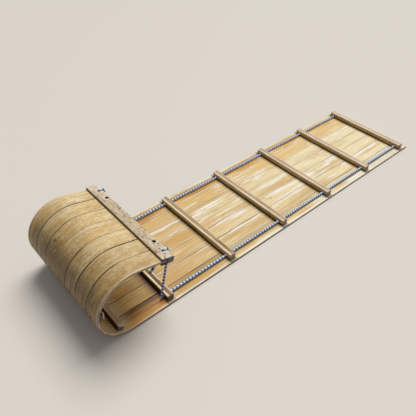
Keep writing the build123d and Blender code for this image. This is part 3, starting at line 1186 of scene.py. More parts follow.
@dataclass
class ScrewRows:
    """Flush screws driven through the slats from the running face into each bar above them."""

    plan: Plan
    head_radius: float = 4.2 * MM
    head_thickness: float = 1.4 * MM
    head_rim: float = 0.9 * MM
    head_dome: float = 0.35 * MM
    head_recess: float = 0.45 * MM
    seat_radius: float = 4.6 * MM
    seat_depth: float = 1.5 * MM
    slot_width: float = 1.0 * MM
    slot_depth: float = 0.5 * MM
    stain_radius: float = 5 * MM
    bend_shifts: tuple[float, ...] = (3 * MM, -2 * MM, 1 * MM, -3 * MM, 2 * MM, 4 * MM, -1 * MM)
    pair_offset: float = 15 * MM
    stagger: float = 5 * MM

    def places(self, index: int) -> list[tuple[Vector, Vector]]:
        """Say where the screws of a slat are.

        Args:
            index: Which slat.

        Returns:
            Each screw's centre on the running face and its outward direction.
        """
        rng = random.Random(40 + index)
        found = []
        for face in self.plan.crosspiece_faces:
            middle = face - self.plan.crosspiece_depth / 2
            for side in (-1, 1):
                x = middle + side * self.stagger + rng.uniform(-1, 1) * MM
                y = self.plan.slat_y(index) + side * self.pair_offset + rng.uniform(-2, 2) * MM
                found.append((Vector((x, y, 0)), Vector((0, 0, -1))))
        for degrees in self.plan.strip_angles:
            angle = math.radians(degrees)
            y = self.plan.slat_y(index) + self.bend_shifts[index]
            outward = Vector((math.sin(angle), 0, -math.cos(angle)))
            found.append((self.plan.on_bend(self.plan.curl_radius, angle, y), outward))
        return found

    def stains(self) -> tuple[Spot, ...]:
        """Return the spot round each screw of the nose."""
        run = self.plan.bed_length + math.radians(self.plan.strip_angles[-1]) * self.plan.curl_radius
        return tuple((run, self.plan.slat_y(i) + shift, self.stain_radius)
                     for i, shift in enumerate(self.bend_shifts))

    def seat(self, centre: Vector, outward: Vector) -> Piece:
        """Model the round plug that cuts one seat, half of it in the wood.

        Args:
            centre: The seat's middle, on the face of the wood.
            outward: The direction out of the wood.

        Returns:
            The plug.
        """
        bpy.ops.mesh.primitive_cylinder_add(
            vertices=20, radius=self.seat_radius, depth=2 * self.seat_depth, location=centre)
        plug = bpy.context.object
        plug.name = "seat"
        plug.rotation_mode = "QUATERNION"
        plug.rotation_quaternion = outward.to_track_quat("Z", "Y")
        settle(plug)
        return plug

    def sink_seats(self, slat: Piece, index: int) -> None:
        """Cut the countersunk seats out of a slat."""
        seats = [self.seat(centre, outward) for centre, outward in self.places(index)]
        select_only(*seats)
        bpy.ops.object.join()
        carve(slat, bpy.context.object)

    def model_head(self) -> Piece:
        """Model one slotted screw head.

        Returns:
            The head, its face at the origin and looking up.
        """
        bpy.ops.mesh.primitive_cylinder_add(vertices=20, radius=self.head_radius, depth=self.head_thickness,
                                            location=(0, 0, -self.head_thickness / 2))
        head = bpy.context.object
        head.name = "screw_head"
        settle(head)
        with editing(head):
            mesh = bmesh.from_edit_mesh(head.data)
            for face in mesh.faces:
                face.select_set(face.normal.z > 0.9)
            bmesh.update_edit_mesh(head.data)
            bpy.ops.mesh.inset(thickness=self.head_rim)
            bpy.ops.transform.translate(value=(0, 0, self.head_dome))
        half, reach = self.slot_width / 2, 2 * self.head_radius
        carve(head, box_piece("slot", (-half, -reach, -self.slot_depth), (half, reach, 2 * MM)))
        return head

    def build(self, steel: bpy.types.Material) -> None:
        """Model one head, copy it to every seat and join the copies.

        Args:
            steel: The screws' finish.
        """
        master = self.model_head()
        heads = []
        rng = random.Random(7)
        for index in range(self.plan.slat_count):
            for centre, outward in self.places(index):
                head = copy_piece(master)
                turn = Matrix.Rotation(rng.uniform(0, math.pi), 4, "Z")
                aim = outward.to_track_quat("Z", "Y").to_matrix().to_4x4()
                place = Matrix.Translation(centre - outward * self.head_recess)
                head.data.transform(place @ aim @ turn)
                heads.append(head)
        bpy.data.objects.remove(master)
        select_only(*heads)
        bpy.ops.object.join()
        screws = bpy.context.object
        screws.name = "slat_screws"
        show(screws, None, steel)


class Wear(Enum):
    """What a worn place shows, by its number in the attribute marks."""

    RUBBED = 0
    AMBER = 1
    GREY = 2


@dataclass(frozen=True)
class WearMap:
    """Where the slats are rubbed pale, stained amber or greyed, in millimetres.

    Each place is its run from the tail or from the bend, its place across, half of its length, half of
    its width and its strength. Steepness and fade shape how it dies away.
    """

    bend: float = 1703
    steepness: float = 2.6
    fade: float = 0.7
    bed_rubbed: Places = (
        (190, 215, 120, 14, 0.3), (130, 169, 48, 7, 0.55), (245, 134, 14, 9, 0.6), (210, 107, 105, 6, 0.75),
        (130, 70, 15, 7, 0.6), (120, 39, 50, 6, 0.8), (170, -32, 95, 5, 0.5), (198, -76, 32, 9, 0.8),
        (100, -89, 28, 6, 0.9), (15, 0, 25, 230, 0.55),
        (470, 214, 30, 9, 1.0), (430, 212, 60, 9, 0.6), (395, 115, 22, 5, 0.6), (410, 52, 40, 12, 0.6),
        (460, 63, 18, 6, 0.8), (592, 60, 22, 10, 0.7), (520, 45, 60, 8, 0.35), (450, -50, 60, 20, 0.5),
        (560, -60, 50, 15, 0.4),
        (714, 214, 36, 10, 1.0), (830, 170, 40, 4, 0.8), (800, 105, 95, 5, 1.0), (800, 44, 85, 11, 0.8),
        (790, -14, 80, 11, 0.7), (695, -45, 22, 9, 0.5), (775, -90, 55, 10, 0.95), (880, -92, 40, 6, 0.6),
        (1045, 214, 72, 9, 0.8), (1080, 170, 55, 4, 0.7), (1095, 107, 128, 5, 1.0), (1010, 85, 20, 5, 0.5),
        (1050, 48, 60, 14, 0.9), (1110, 40, 60, 6, 0.8), (990, -20, 25, 8, 0.5), (1185, -32, 32, 6, 0.7),
        (1120, -72, 85, 12, 0.7), (1190, -70, 28, 12, 0.9), (1060, -93, 90, 4, 0.6),
        (1340, 106, 65, 4, 0.6), (1345, -34, 70, 5, 0.85), (1350, -88, 75, 7, 1.0), (1375, -164, 40, 3, 0.8),
        (1470, 226, 22, 4, 1.0), (1420, 166, 100, 3, 0.6), (1300, 158, 40, 3, 0.4),
    )
    bend_rubbed: Places = (
        (470, 40, 55, 24, 0.45), (500, 122, 20, 7, 0.5), (505, 8, 30, 10, 0.4), (495, -15, 30, 6, 0.3),
        (285, -60, 18, 12, 0.5), (278, -140, 14, 12, 0.45), (295, 92, 8, 5, 0.6), (525, -103, 8, 5, 0.9),
        (490, -185, 50, 16, 0.6), (520, -175, 15, 6, 0.6), (440, 170, 70, 5, 0.3), (505, 224, 40, 5, 0.5),
        (330, -215, 12, 10, 0.5),
    )
    bed_amber: Places = (
        (190, -178, 120, 10, 0.32), (525, -178, 130, 10, 0.74), (785, -177, 120, 11, 1.0),
        (1095, -176, 135, 12, 1.05),
        (1400, -177, 130, 14, 1.1), (555, 209, 55, 8, 0.5), (808, 211, 62, 8, 0.5), (1165, 205, 65, 8, 0.6),
        (1400, 207, 125, 12, 0.6), (760, 175, 60, 11, 0.5), (1120, 175, 110, 11, 0.62),
        (1400, 174, 135, 12, 0.85),
        (1160, -2, 65, 22, 0.4), (1345, 0, 70, 24, 0.52), (1350, 60, 80, 18, 0.3), (1625, 181, 85, 14, 0.8),
        (660, -205, 30, 6, 0.5), (960, -204, 30, 6, 0.6), (1260, -204, 30, 6, 0.5),
    )
    bend_amber: Places = (
        (330, 195, 130, 28, 0.18), (370, -110, 25, 14, 0.35), (350, -195, 30, 18, 0.4),
        (290, -205, 35, 14, 0.35),
        (420, 10, 60, 26, 0.28),
    )
    bend_grey: Places = (
        (120, 0, 120, 300, 0.95), (265, 0, 55, 300, 0.75), (330, 60, 45, 60, 0.4), (-60, 0, 80, 170, 0.45),
    )

    def fields(self, run: np.ndarray, across: np.ndarray) -> np.ndarray:
        """Work out how strongly each point of the slats is marked.

        Args:
            run: The run from the tail, in metres.
            across: The place across, in metres.

        Returns:
            Rows of the three strengths, in the order of Wear.
        """
        marks = np.zeros((len(run), len(Wear)))
        for kind, start, places in (
            (Wear.RUBBED, 0, self.bed_rubbed), (Wear.RUBBED, self.bend, self.bend_rubbed),
            (Wear.AMBER, 0, self.bed_amber), (Wear.AMBER, self.bend, self.bend_amber),
            (Wear.GREY, self.bend, self.bend_grey),
        ):
            for place_run, place_across, half_run, half_across, strength in places:
                away = (np.abs(run / MM - start - place_run) / half_run) ** self.steepness
                away += (np.abs(across / MM - place_across) / half_across) ** self.steepness
                mark = strength * np.exp(-self.fade * away)
                marks[:, kind.value] = np.maximum(marks[:, kind.value], mark)
        return marks


@dataclass
class SlatBed:
    """Seven thin slats side by side, bent up at the nose and back over the bed.

    Joint_gaps has each joint's runs from the tail and the gap at each, in millimetres, from the right.
    """

    plan: Plan
    across_cuts: int = 14
    bed_steps: int = 130
    bend_steps: int = 60
    lip_steps: int = 8
    edge_round: float = 1.3 * MM
    grain_shift: float = 0.37
    wear: WearMap = field(default_factory=WearMap)
    joint_gaps: tuple[tuple[tuple[float, float], ...], ...] = (
        ((0, 0.7), (1275, 0.8), (1340, 1.2), (1883, 1.6), (1933, 2.0), (2240, 1.9)),
        ((0, 0.6), (1703, 0.8), (1903, 1.4), (1963, 2.3), (2103, 1.8), (2133, 0.8), (2240, 0.8)),
        ((0, 0.7), (1703, 0.5), (1903, 0.3), (2240, 0.3)),
        ((0, 0.6), (365, 1.4), (430, 1.2), (520, 0.7), (1703, 0.8), (1903, 1.0), (1943, 2.2), (2048, 2.0),
         (2078, 0.3), (2240, 0.3)),
        ((0, 0.6), (365, 1.0), (600, 0.9), (965, 1.2), (1330, 1.5), (1500, 0.8), (1703, 1.1), (1903, 1.8),
         (1943, 2.6), (2240, 2.3)),
        ((75, 1.6), (160, 1.4), (200, 0.5), (365, 1.4), (600, 1.4), (800, 0.8), (965, 0.8), (1250, 1.2),
         (1525, 1.2), (1575, 2.0), (1703, 2.2), (1853, 2.0), (1938, 1.8), (2103, 1.4), (2133, 0.8),
         (2240, 0.7)),
    )

    def model_slat(self) -> Piece:
        """Model one bent slat in the sled's middle plane.

        Returns:
            The slat, extruded along the bed, spun round the bend and extruded down the lip.
        """
        plan = self.plan
        bpy.ops.mesh.primitive_plane_add(
            size=1, location=(plan.tail_x, 0, plan.slat_thickness / 2), rotation=(0, math.pi / 2, 0))
        slat = bpy.context.object
        slat.scale = (plan.slat_thickness, plan.slat_width, 1)
        settle(slat)
        step = plan.bed_length / self.bed_steps
        lip = plan.lip_length + plan.tip_in_groove
        with editing(slat, "EDGE"):
            pick_edges(slat, lambda a, b: abs(a.y - b.y) > plan.slat_width / 2)
            bpy.ops.mesh.subdivide(number_cuts=self.across_cuts)
            bpy.ops.mesh.select_mode(type="FACE")
            bpy.ops.mesh.select_all(action="SELECT")
            for _ in range(self.bed_steps):
                bpy.ops.mesh.extrude_region_move(TRANSFORM_OT_translate={"value": (step, 0, 0)})
            bpy.ops.mesh.spin(
                steps=self.bend_steps, angle=math.pi + plan.overturn,
                center=(plan.curl_x, 0, plan.curl_radius), axis=(0, 1, 0))
            for _ in range(self.lip_steps):
                bpy.ops.mesh.extrude_region_move(
                    TRANSFORM_OT_translate={"value": plan.back * (lip / self.lip_steps)})
            bpy.ops.mesh.select_all(action="SELECT")
            bpy.ops.mesh.remove_doubles(threshold=0.01 * MM)
            bpy.ops.mesh.normals_make_consistent(inside=False)
        apply_modifier(slat, "BEVEL", width=self.edge_round, segments=2, limit_method="ANGLE",
                       angle_limit=math.radians(50))
        return slat

    def gap(self, joint: int, run: np.ndarray) -> np.ndarray:
        """Say how far a joint stands open.

        Args:
            joint: Which joint between two slats.
            run: Places along the slats, in metres.

        Returns:
            The opening at each place, in metres.
        """
        if not 0 <= joint < len(self.joint_gaps):
            return np.full_like(run, self.plan.slat_gap)
        runs, gaps = zip(*self.joint_gaps[joint])
        wave = 1 + 0.25 * np.sin(run * (15.1 + joint)) * np.sin(run * 7.3 + joint * 1.9)
        closed_aft = 0.68 + 0.32 * ease(0.9, 1.4, run)
        return np.interp(run / MM, runs, gaps) * wave * closed_aft * MM

    def shape(self, slat: Piece, index: int) -> None:
        """Open the joints beside a slat and write what its finish reads.

        Args:
            slat: The slat's copy, still in the middle plane.
            index: Its number from the sled's right side.
        """
        plan = self.plan
        points = read_points(slat)
        flat = plan.unroll(points)
        half = plan.slat_width / 2
        share = points[:, 1] / half
        openness = np.zeros(len(points))
        for side, joint in ((-1, index - 1), (1, index)):
            gap = self.gap(joint, flat[:, 0])
            reach = np.clip(share * side, 0, 1)
            points[:, 1] += side * (plan.slat_gap - gap) / 2 * reach
            opened = side * (0.05 + np.clip((gap / MM - 0.5) / 1.5, 0, 1))
            openness = np.where(share * side > 0, opened, openness)
        points[:, 1] += plan.slat_y(index)
        write_points(slat, points)
        write_attribute(slat, "marks", self.wear.fields(flat[:, 0], points[:, 1]))
        write_attribute(slat, "place", np.stack([(1 - np.abs(share)) * half, flat[:, 2], openness], axis=1))
        flat[:, 1] = points[:, 1]
        flat[:, 2] += self.grain_shift * index
        write_attribute(slat, "grain", flat)

    def build(self, finish: bpy.types.Material, screws: ScrewRows) -> None:
        """Model one slat, copy it seven times and finish each copy.

        Args:
            finish: The slats' material.
            screws: Gives the seats to sink into the running face.
        """
        master = self.model_slat()
        for index in range(self.plan.slat_count):
            slat = copy_piece(master)
            slat.name = f"bent_slat_{index + 1}"
            slide_across(slat, self.plan.slat_y(index))
            screws.sink_seats(slat, index)
            slide_across(slat, -self.plan.slat_y(index))
            self.shape(slat, index)
            smooth_faces(slat, 35)
            show(slat, "slat_wood", finish, f"slat_{index + 1}")
        bpy.data.objects.remove(master)


@dataclass(frozen=True)
class Crack:
    """A drying crack along a bar: where it starts and ends along it, its place across, width and depth."""

    start: float
    end: float
    across: float
    width: float = 1.6 * MM
    depth: float = 5 * MM
    wander: float = 0.8 * MM


@dataclass
class StraightBar:
    """A crosspiece, or a strip across the inside of the bend, modelled flat and then put in place."""

    node: str
    plan: Plan
    depth: float
    height: float
    place: Matrix
    top_round: float = 3 * MM
    end_round: float = 3 * MM
    rope_hole_radius: float = 5.5 * MM
    rope_hole_height: float = 9.6 * MM
    has_rope_holes: bool = True
    cracks: tuple[Crack, ...] = ()
    cut_step: float = 11 * MM
    broad_hollows: tuple[float, float] = (45 * MM, 1.1 * MM)
    fine_hollows: tuple[float, float] = (9 * MM, 0.5 * MM)
    seed: int = 1
    tone: float = 0

    @property
    def half(self) -> float:
        """Return half of the bar's length."""
        return self.plan.half_width - self.plan.crosspiece_inset

    def crack_blade(self, crack: Crack) -> Piece:
        """Model the wavy blade that opens one crack.

        Args:
            crack: The crack's place and size.

        Returns:
            A closed sliver, widest in its middle and pointed at its ends.
        """
        low, high = crack.start * self.half, crack.end * self.half
        blade = box_piece("crack", (crack.across - crack.width / 2, low, self.height - crack.depth),
                          (crack.across + crack.width / 2, high, self.height + 1 * MM))
        steps = max(4, int((high - low) / (9 * MM)))
        with editing(blade):
            cut_across(blade, 1, [low + (high - low) * i / steps for i in range(1, steps)])
        rng = random.Random(int(1000 * crack.across) + self.seed)
        phase = rng.uniform(0, 6)
        points = read_points(blade)
        share = (points[:, 1] - low) / (high - low)
        swell = np.sin(np.clip(share, 0.02, 0.98) * math.pi) ** 0.5
        points[:, 0] = crack.across + (points[:, 0] - crack.across) * swell
        points[:, 0] += crack.wander * np.sin(share * 9 + phase) * np.sin(share * 23 + 2 * phase)
        deep = points[:, 2] < self.height - crack.depth / 2
        points[deep, 2] = self.height - crack.depth * swell[deep]
        points[deep, 0] += (crack.across - points[deep, 0]) * 0.5
        write_points(blade, points)
        return blade

    def is_inside(self, centre: Vector) -> bool:
        """Tell the walls of rope holes and cracks from the bar's outside.

        Args:
            centre: The face's middle.

        Returns:
            Whether the face is such a wall.
        """
        across = abs(centre.x)
        from_hole = math.hypot(abs(centre.y) - self.plan.rope_y, centre.z - self.rope_hole_height)
        in_hole = (self.has_rope_holes and across < self.depth / 2 - 0.2 * MM
                   and from_hole < self.rope_hole_radius + 0.1 * MM)
        in_crack = (across < self.depth / 2 - 3 * MM and 2 * MM < centre.z < self.height - 1.3 * MM
                    and abs(centre.y) < self.half - 4 * MM)
        return in_hole or in_crack

    def model_worn(self) -> Piece:
        """Model the bar without holes.

        Returns:
            The bar with its upper edges rounded and its faces worn over a flat foot.
        """
        half = self.half
        low, high = (-self.depth / 2, -half, 0), (self.depth / 2, half, self.height)
        bar = box_piece(f"worn_{self.node}", low, high)
        steps = round(2 * half / self.cut_step)
        with editing(bar, "EDGE"):
            pick_edges(bar, lambda a, b: abs(a.y - b.y) > half and a.z > self.height / 2)
            bpy.ops.mesh.bevel(offset=self.top_round, segments=4, affect="EDGES")
            cut_across(bar, 1, end_cuts(half, self.end_round, steps))
            cut_across(bar, 0, [self.depth * s for s in (-0.25, 0, 0.25)])
            cut_across(bar, 2, [self.height * s for s in (0.25, 0.5, 0.72)])
        layers = ((*self.broad_hollows, self.seed), (*self.fine_hollows, self.seed + 3))
        wear_bar(bar, layers, low, high, self.end_round, flat_foot=True)
        return bar

    def drill_and_crack(self, bar: Piece) -> None:
        """Cut the rope holes and the cracks.

        Args:
            bar: The worn bar.
        """
        if self.has_rope_holes:
            for side in (-1, 1):
                bpy.ops.mesh.primitive_cylinder_add(
                    vertices=24, radius=self.rope_hole_radius, depth=2 * self.depth,
                    location=(0, side * self.plan.rope_y, self.rope_hole_height),
                    rotation=(0, math.pi / 2, 0))
                carve(bar, bpy.context.object)
        for crack in self.cracks:
            carve(bar, self.crack_blade(crack))

    def build(self, finish: bpy.types.Material) -> None:
        """Model, crack, wear, place and dress the bar.

        Args:
            finish: The bar's material.
        """
        bar = self.model_worn()
        self.drill_and_crack(bar)
        along_first = read_points(bar)[:, [1, 0, 2]]
        write_attribute(bar, "grain", along_first + [0.41 * self.seed, 0.13 * self.seed, 0])
        write_attribute(bar, "place", along_first / [self.half, self.depth / 2, self.height])
        write_attribute(bar, "tone", np.full(len(along_first), self.tone))
        mark_bores(bar, self.is_inside)
        bar.data.transform(self.place)
        smooth_faces(bar, 40)
        show(bar, "crosspiece_wood", finish, self.node)


@dataclass
class HeadBar:
    """The bar over the slat tips, grooved along its front, with two roped and two empty holes."""

    plan: Plan
    depth: float = 49 * MM
    top_lip: float = 8.5 * MM
    bottom_lip: float = 8.5 * MM
    overhang: float = 2 * MM
    groove_depth: float = 24 * MM
    groove_clearance: float = 0.2 * MM
    rear_round: float = 8 * MM
    front_round: float = 3 * MM
    end_round: float = 2 * MM
    hole_u: float = 33 * MM
    rope_hole_radius: float = 5 * MM
    tow_hole_radius: float = 5 * MM
    tow_spacing: float = 49 * MM
    length_cuts: int = 44
    hollows: tuple[tuple[float, float, float], ...] = ((60 * MM, 1.6 * MM, 11), (11 * MM, 0.7 * MM, 5))
    halo_width: float = 16 * MM

    @property
    def half(self) -> float:
        """Return half of the bar's length."""
        return self.plan.half_width + self.overhang

    @property
    def bottom(self) -> float:
        """Return the underside's place below the slats' outer face."""
        return -self.plan.slat_thickness - self.bottom_lip

    @property
    def holes(self) -> list[tuple[float, float]]:
        """Return the place across and the radius of each hole."""
        rope_y = self.plan.rope_y
        pair = ((rope_y, self.rope_hole_radius), (rope_y - self.tow_spacing, self.tow_hole_radius))
        return [(side * y, radius) for side in (-1, 1) for y, radius in pair]

    def model_worn(self) -> Piece:
        """Model the bar flat, without groove or holes.

        Returns:
            The bar with its edges rounded and its faces worn, its front at the origin.
        """
        half = self.half
        low, high = (0, -half, self.bottom), (self.depth, half, self.top_lip)
        bar = box_piece("worn_head_bar", low, high)
        with editing(bar, "EDGE"):
            pick_edges(bar, lambda a, b: abs(a.y - b.y) > half and a.x > self.depth / 2)
            bpy.ops.mesh.bevel(offset=self.rear_round, segments=5, affect="EDGES")
            bpy.ops.mesh.select_all(action="DESELECT")
            pick_edges(bar, lambda a, b: abs(a.y - b.y) > half and a.x < MM and a.z > 0)
            bpy.ops.mesh.bevel(offset=self.front_round, segments=3, affect="EDGES")
            cut_across(bar, 1, end_cuts(half, self.end_round, self.length_cuts))
            cut_across(bar, 0, [self.depth * s for s in (0.18, 0.34, 0.5, 0.66, 0.8)])
        wear_bar(bar, self.hollows, low, high, self.end_round)
        return bar

    def groove_and_drill(self, bar: Piece) -> None:
        """Cut the groove for the slat tips, and the four holes.

        Args:
            bar: The worn bar.
        """
        groove = box_piece("groove", (-MM, -2 * self.half, -self.plan.slat_thickness - self.groove_clearance),
                           (self.groove_depth, 2 * self.half, self.groove_clearance))
        carve(bar, groove)
        for y, radius in self.holes:
            bpy.ops.mesh.primitive_cylinder_add(
                vertices=28, radius=radius, depth=4 * self.depth, location=(self.hole_u, y, 0))
            carve(bar, bpy.context.object)

    def write_marks(self, bar: Piece) -> None:
        """Write what the bar's finish reads.

        Args:
            bar: The finished shape, still flat.
        """
        points = read_points(bar)
        halo = np.zeros(len(points))
        for y, radius in self.holes:
            distance = np.hypot(points[:, 0] - self.hole_u, points[:, 1] - y)
            halo = np.maximum(halo, 1 - ease(radius + 2 * MM, radius + self.halo_width, distance))
        middle, thickness = self.depth / 2, self.top_lip - self.bottom
        place = np.stack([points[:, 1] / self.half, (points[:, 0] - middle) / middle,
                          (points[:, 2] - self.bottom) / thickness], axis=1)
        write_attribute(bar, "grain", points[:, [1, 0, 2]])
        write_attribute(bar, "place", place)
        write_attribute(bar, "halo", halo)
        mark_bores(bar, lambda c: any(
            math.hypot(c.x - self.hole_u, c.y - y) < radius + 0.1 * MM for y, radius in self.holes))

    def build(self, finish: bpy.types.Material) -> None:
        """Model the bar flat, wear it, cut its groove and holes and put it over the tips.

        Args:
            finish: The bar's material.
        """
        bar = self.model_worn()
        self.groove_and_drill(bar)
        self.write_marks(bar)
        turn = Matrix((self.plan.back, (0, -1, 0), self.plan.lip_up)).transposed().to_4x4()
        bar.data.transform(Matrix.Translation(self.plan.bar_point(0, 0)) @ turn)
        smooth_faces(bar, 40)
        show(bar, "head_bar_wood", finish, "head_bar")


@dataclass
class Braid:
    """Lays a round braid of eight strands and a core along a smooth route.

    Distances from its middle, lifts and half widths are shares of the rope's thickness.
    """

    radius: float = 4 * MM
    strands_each_way: int = 4
    pitch: float = 29.4 * MM
    step: float = 1.4 * MM
    sides: int = 6
    core_sides: int = 8
    strand_out: float = 0.73
    strand_lift: float = 0.05
    strand_half: tuple[float, float] = (0.53, 0.22)
    core_half: float = 0.76
    cell_dyes: tuple[float, ...] = (0, 0, 1, 0.6)
    knot_points: int = 24

    def route_points(self, name: str, route: Sequence[Vector], cyclic: bool = False) -> np.ndarray:
        """Read closely spaced points from the NURBS spline through a route.

        Args:
            name: The curve's name.
            route: The control points.
            cyclic: Whether the line closes on itself.

        Returns:
            Rows of points along the spline.
        """
        curve = self.spline(name, route, cyclic)
        mesh = bpy.data.meshes.new_from_object(curve)
        points = np.array([vertex.co for vertex in mesh.vertices])
        bpy.data.meshes.remove(mesh)
        bpy.data.objects.remove(curve)
        return np.vstack([points, points[:1]]) if cyclic else points

    def spline(self, name: str, route: Sequence[Vector], cyclic: bool) -> Piece:
        """Make a NURBS curve.

        Args:
            name: The curve's name.
            route: Its control points.
            cyclic: Whether it closes on itself.

        Returns:
            The curve.
        """
        data = bpy.data.curves.new(name, "CURVE")
        data.dimensions = "3D"
        line = data.splines.new("NURBS")
        line.points.add(len(route) - 1)
        for point, place in zip(line.points, route):
            point.co = (*place, 1)
        line.order_u = 3
        line.use_endpoint_u = not cyclic
        line.use_cyclic_u = cyclic
        line.resolution_u = 16
        curve = put_in_scene(name, data)
        bpy.context.view_layer.update()
        return curve

    def frames(self, points: np.ndarray) -> tuple[np.ndarray, np.ndarray, np.ndarray, np.ndarray]:
        """Space points evenly and carry a frame along them without twist.

        Args:
            points: Rows along the line.

        Returns:
            The run, the points and the two side directions.
        """
        lengths = np.linalg.norm(np.diff(points, axis=0), axis=1)
        keep = np.r_[True, lengths > 1e-7]
        points = points[keep]
        run = np.r_[0, np.cumsum(np.linalg.norm(np.diff(points, axis=0), axis=1))]
        count = max(8, int(run[-1] / self.step) + 1)
        even = np.linspace(0, run[-1], count)
        line = np.stack([np.interp(even, run, points[:, i]) for i in range(3)], axis=1)
        tangents = np.gradient(line, axis=0)
        tangents /= np.linalg.norm(tangents, axis=1)[:, None]
        side = np.cross(tangents[0], (0.1, 0.2, 1.0))
        sides = []
        for tangent in tangents:
            side = side - tangent * np.dot(side, tangent)
            side = side / np.linalg.norm(side)
            sides.append(side)
        sides = np.array(sides)
        return even, line, sides, np.cross(tangents, sides)

    def tube(self, line: np.ndarray, out: np.ndarray, half_width: np.ndarray, half_height: np.ndarray,
             sides: int) -> tuple[np.ndarray, list[tuple[int, ...]]]:
        """Return the vertices and faces of a flattened tube.

        Args:
            line: Rows of its centre line.
            out: Rows of the direction away from the rope's middle.
            half_width: Half of its width along the line.
            half_height: Half of its thickness along the line.
            sides: How many sides it has.

        Returns:
            The vertices and the faces.
        """
        tangents = np.gradient(line, axis=0)
        tangents /= np.linalg.norm(tangents, axis=1)[:, None]
        across = np.cross(tangents, out)
        across /= np.linalg.norm(across, axis=1)[:, None]
        angles = np.arange(sides) * 2 * math.pi / sides
        rings = (line[:, None] + across[:, None] * (np.cos(angles)[None, :, None] * half_width[:, None, None])
                 + out[:, None] * (np.sin(angles)[None, :, None] * half_height[:, None, None]))
        count = len(line)
        faces = []
        for i in range(count - 1):
            for j in range(sides):
                k = (j + 1) % sides
                faces.append((i * sides + j, i * sides + k, (i + 1) * sides + k, (i + 1) * sides + j))
        faces.append(tuple(reversed(range(sides))))
        faces.append(tuple((count - 1) * sides + j for j in range(sides)))
        return rings.reshape(-1, 3), faces

    def cell_dye(self, run: np.ndarray, way: int) -> np.ndarray:
        """Dye a strand in cells, two white and two blue in turn.

        Args:
            run: The place along the rope.
            way: 1 or -1 for the strand's turning sense, 0 for the core.

        Returns:
            0 for white and up to 1 for blue at each place.
        """
        cell = self.pitch / (2 * self.strands_each_way)
        if way == 0:
            number = np.round(run / cell)
        else:
            odd = way < 0
            number = 2 * np.round((run / cell - odd) / 2) + odd
        return np.array(self.cell_dyes)[(number % len(self.cell_dyes)).astype(int)]

    def lay(self, name: str, points: np.ndarray, swell: Callable[[np.ndarray], np.ndarray] | None = None,
            squeeze: float = 1.0, painted_shade: Callable[[np.ndarray], np.ndarray] | None = None) -> Piece:
        """Braid eight strands and a core along a line.

        Args:
            name: The new object's name.
            points: Rows along the line.
            swell: Gives the rope's thickness as a share of the usual one, by the run.
            squeeze: Thins or thickens the whole rope.
            painted_shade: Gives how much painted shade darkens the rope, by its points.

        Returns:
            The braid as one mesh with the attributes strand, dye and dusk, the last a share of painted shade.
        """
        run, line, side_a, side_b = self.frames(points)
        thick = (swell(run) if swell else np.ones_like(run)) * squeeze * self.radius
        # The share of painted shade at each point.
        soiled = painted_shade(line) if painted_shade else np.zeros_like(run)
        vertices, faces, strand, dye, dark = [], [], [], [], []
        n = self.strands_each_way
        phase = 2 * math.pi * run / self.pitch

        def add(rows: np.ndarray, quads: list[tuple[int, ...]], number: int, way: int) -> None:
            """Gather one tube's vertices, faces and attributes."""
            offset = sum(len(block) for block in vertices)
            vertices.append(rows)
            faces.extend(tuple(i + offset for i in quad) for quad in quads)
            sides = len(rows) // len(run)
            strand.append(np.stack([np.repeat(run, sides), np.tile(np.arange(sides) * 1.1 * MM, len(run)),
                                    np.full(len(rows), number * 0.3)], axis=1))
            dye.append(np.repeat(self.cell_dye(run, way), sides))
            dark.append(np.repeat(soiled, sides))

        for number in range(2 * n):
            way = 1 if number < n else -1
            angle = 2 * math.pi * (number % n) / n + way * phase
            out = side_a * np.cos(angle)[:, None] + side_b * np.sin(angle)[:, None]
            lift = way * np.cos(n * phase)
            centre = line + out * (thick * (self.strand_out + self.strand_lift * lift))[:, None]
            half_width, half_height = (share * thick for share in self.strand_half)
            rows, quads = self.tube(centre, out, half_width, half_height, self.sides)
            add(rows, quads, number, way)
        rows, quads = self.tube(line, side_a, self.core_half * thick, self.core_half * thick, self.core_sides)
        add(rows, quads, 2 * n, 0)
        mesh = bpy.data.meshes.new(name)
        mesh.from_pydata(np.vstack(vertices).tolist(), [], faces)
        mesh.validate()
        braid = put_in_scene(name, mesh)
        write_attribute(braid, "strand", np.vstack(strand))
        write_attribute(braid, "dye", np.concatenate(dye))
        write_attribute(braid, "painted_shade", np.concatenate(dark))
        with editing(braid):
            bpy.ops.mesh.select_all(action="SELECT")
            bpy.ops.mesh.normals_make_consistent(inside=False)
        select_only(braid)
        bpy.ops.object.shade_smooth()
        return braid

    def knot_route(self, centre: Vector, axis: Vector, spread: float = 1.75 * MM) -> list[Vector]:
        """Plan a tight three-lobed stopper knot.

        Args:
            centre: The knot's middle.
            axis: The direction of the rope through it.
            spread: A third of the lobes' reach.

        Returns:
            The control points of its closed line.
        """
        turn = axis.to_track_quat("Z", "Y").to_matrix()
        route = []
        for i in range(self.knot_points):
            t = 2 * math.pi * i / self.knot_points
            lobe = Vector((math.sin(t) + 2 * math.sin(2 * t), math.cos(t) - 2 * math.cos(2 * t),
                           -1.5 * math.sin(3 * t)))
            route.append(centre + turn @ (lobe * spread))
        return route


class Side(Enum):
    """The sled's two sides, by the sign of Y."""

    LEFT = 1
    RIGHT = -1

    @property
    def word(self) -> str:
        """Return the side's name as the nodes spell it."""
        return self.name.lower()


